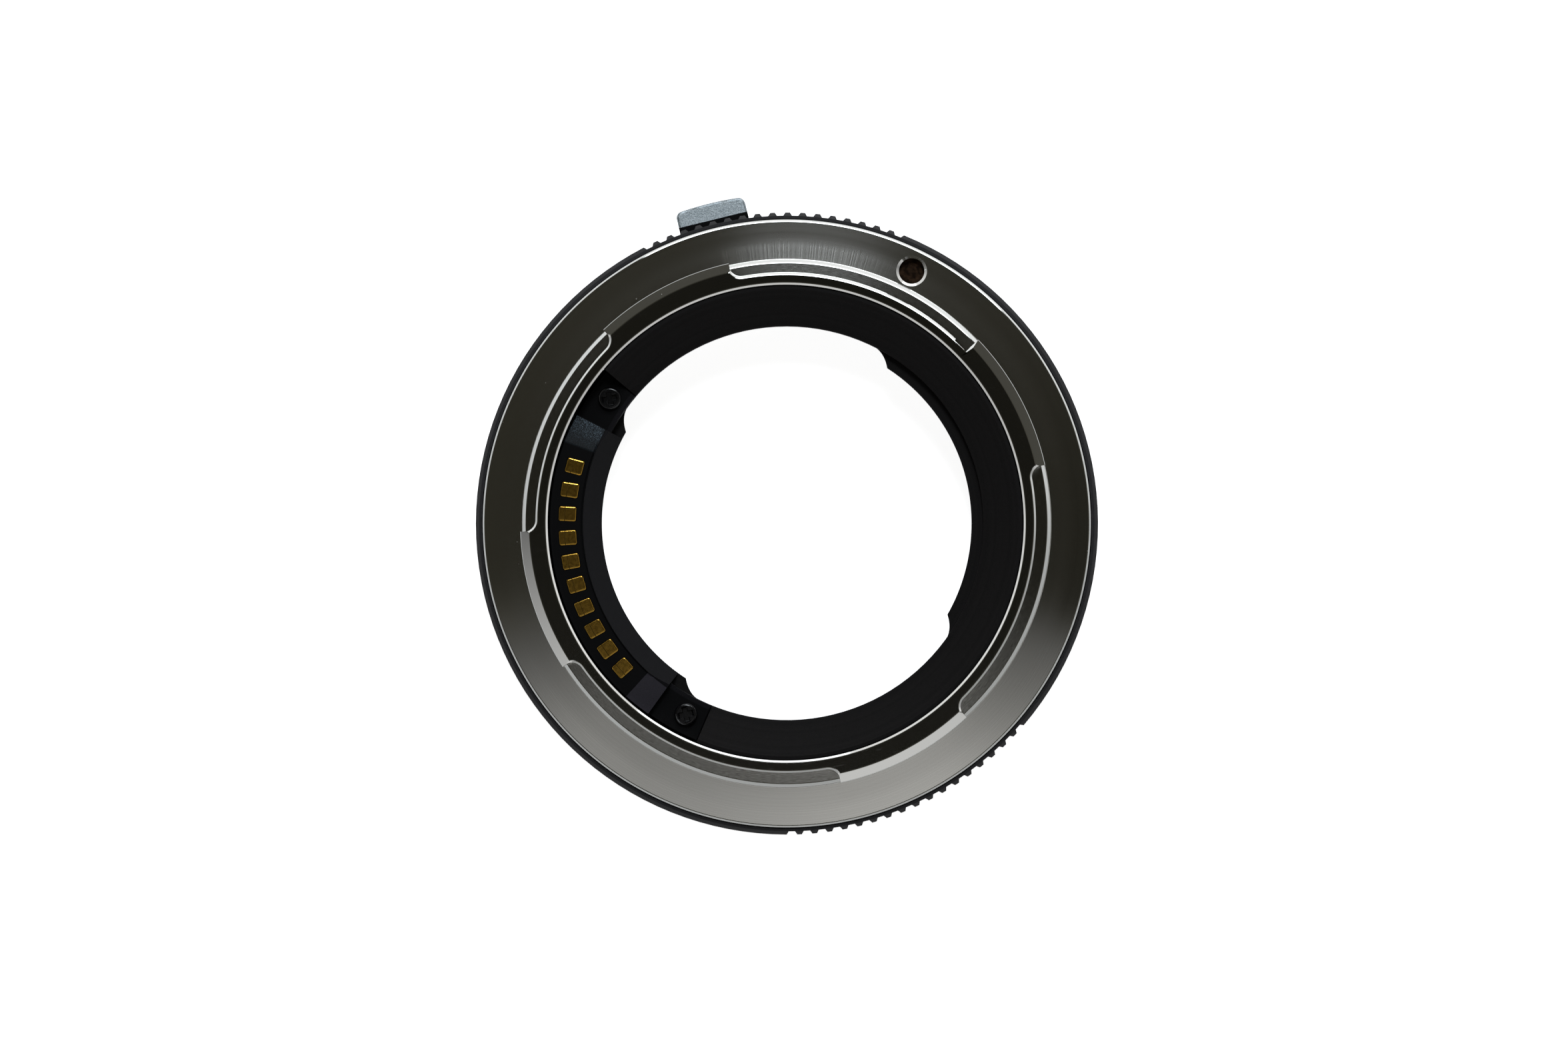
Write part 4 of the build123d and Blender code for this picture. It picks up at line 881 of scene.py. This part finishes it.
def softbox(name, angle, polar, size, radiance):
    """Rectangular light that faces the object; its power gives the wanted radiance."""
    data = bpy.data.lights.new(name, "AREA")
    data.shape = "RECTANGLE"
    data.size, data.size_y = (s * MM for s in size)
    data.energy = radiance * math.pi * data.size * data.size_y
    data.color = linear(LAMP_COLOUR)[:3]
    light = bpy.data.objects.new(name, data)
    bpy.context.scene.collection.objects.link(light)
    light.location = picture_direction(angle, polar) * LAMP_DISTANCE * MM
    look_at(light, Vector(), Vector((0, 0, 1)))
    light.visible_camera = False


# The wide lamps draw thin even lines along the broken edges. The fan lamp is small, and the flange's feed marks
# spread it into a fan.
softbox("key_lamp", 83, 47, (900, 140), 6.0)
softbox("fan_lamp", 87, 27, (170, 230), 18.0)
softbox("rim_lamp", 80, 84, (900, 260), 1.1)

# The room is dark and a little warm straight overhead, so the polished rim stays dark. An arc of soft light lies
# round that spot on the side of the picture's bottom, where the leaning feed marks mirror it. A broad light stands
# near the horizon on the same side, and a white sweep runs all round.
world = bpy.data.worlds.new("studio")
bpy.context.scene.world = world
world.use_nodes = True
tree = world.node_tree
tree.nodes.clear()
direction = add(tree, "TexCoord", out="Generated")
height = add(tree, "SeparateXYZ", {0: direction}, out="Z")
level = add(tree, "VectorMath", {0: direction, 1: (1, 1, 0)}, operation="MULTIPLY")
heading = add(tree, "VectorMath", {0: level}, operation="NORMALIZE")

facing = dot(tree, heading, picture_direction(LOW_ANGLE))
sweep = ramp(tree, height, *SWEEP_FADE, 1.0, 0.0)
sweep = maths(tree, "MULTIPLY", sweep, ramp(tree, facing, 0.6, -0.6, 0.65, 1.05))
low = maths(tree, "MULTIPLY", ramp(tree, facing, -0.3, 0.95, 0.08, 0.75), ramp(tree, height, *LOW_FADE))

toward, aside = (dot(tree, heading, picture_direction(angle)) for angle in (ARC_ANGLE, ARC_ANGLE + 90))
above = ramp(tree, height, *OVERHEAD_FADE, OVERHEAD, ramp(tree, aside, -0.6, 0.6, 0.04, 0.065))
inner = maths(tree, "SUBTRACT", height, ramp(tree, aside, -1.0, 0.2, 0.0, 0.0013))
arc = ramp(tree, aside, -0.8, 0.6, 0.47, 0.88)
for fade in (
    ramp(tree, toward, 0.0, 0.3),
    ramp(tree, aside, -1.04, -0.72),
    ramp(tree, aside, 1.23, 0.5),
    ramp(tree, inner, *ARC_INNER_FADE),
    ramp(tree, height, *ARC_OUTER_FADE),
):
    arc = maths(tree, "MULTIPLY", arc, fade)

glow = sweep
for light in (low, above, arc, add(tree, "LightPath", out="Is Camera Ray")):
    glow = maths(tree, "MAXIMUM", glow, light)
tint = blend(tree, ramp(tree, glow, 0.03, 0.15), "#fff9de", "#ffffff")
add(tree, "OutputWorld", {"Surface": add(tree, "Background", {"Strength": glow, "Color": tint})})

# White card under the object: plain white to the camera, and brighter towards the picture's top in mirrors
floor_mesh = bpy.data.meshes.new("floor")
corners = FLOOR_HALF * MM * np.array([(-1, -1, 0), (1, -1, 0), (1, 1, 0), (-1, 1, 0)])
floor_mesh.from_pydata(corners.tolist(), [], [(0, 1, 2, 3)])
floor = bpy.data.objects.new("floor", floor_mesh)
bpy.context.scene.collection.objects.link(floor)
floor.location.z = -FLOOR_GAP * MM
card = bpy.data.materials.new("white_card")
card.use_nodes = True
tree = card.node_tree
tree.nodes.clear()
up_card = dot(tree, add(tree, "TexCoord", out="Object"), picture_direction(90))
mirrored = add(tree, "LightPath", out="Is Glossy Ray")
mirrored = maths(tree, "MULTIPLY", mirrored, ramp(tree, up_card, -0.05, 0.2, 0.14, 0.6))
seen = maths(tree, "MULTIPLY", add(tree, "LightPath", out="Is Camera Ray"), 0.9)
lift = maths(tree, "MAXIMUM", seen, mirrored)
paper = add(tree, "BsdfDiffuse", {"Color": linear("#ececec")})
add(tree, "OutputMaterial", {
    "Surface": add(tree, "AddShader", {0: paper, 1: add(tree, "Emission", {"Strength": lift})}),
})
floor_mesh.materials.append(card)

# Camera above the flange, turned so that the picture's up is the object's own direction
camera_data = bpy.data.cameras.new("camera")
camera = bpy.data.objects.new("camera", camera_data)
bpy.context.scene.collection.objects.link(camera)
bpy.context.scene.camera = camera
right = picture_direction(0)
up = picture_direction(90)
camera_data.sensor_width = SENSOR_W
camera_data.lens = SENSOR_W * CAMERA_DISTANCE / (SCALE_MM_PX * PHOTO_SIZE_PX[0])
flange_centre = Vector((0, 0, FLANGE_Z * MM))
aim_px = (PHOTO_SIZE_PX[0] / 2 - AXIS_PX[0], AXIS_PX[1] - PHOTO_SIZE_PX[1] / 2)
aim = flange_centre + (right * aim_px[0] + up * aim_px[1]) * SCALE_MM_PX * MM
camera.location = aim + (right * CAMERA_ASIDE[0] + up * CAMERA_ASIDE[1]) * MM
camera.location.z += CAMERA_DISTANCE * MM
look_at(camera, aim, up)

bpy.context.scene.view_settings.view_transform = "Standard"
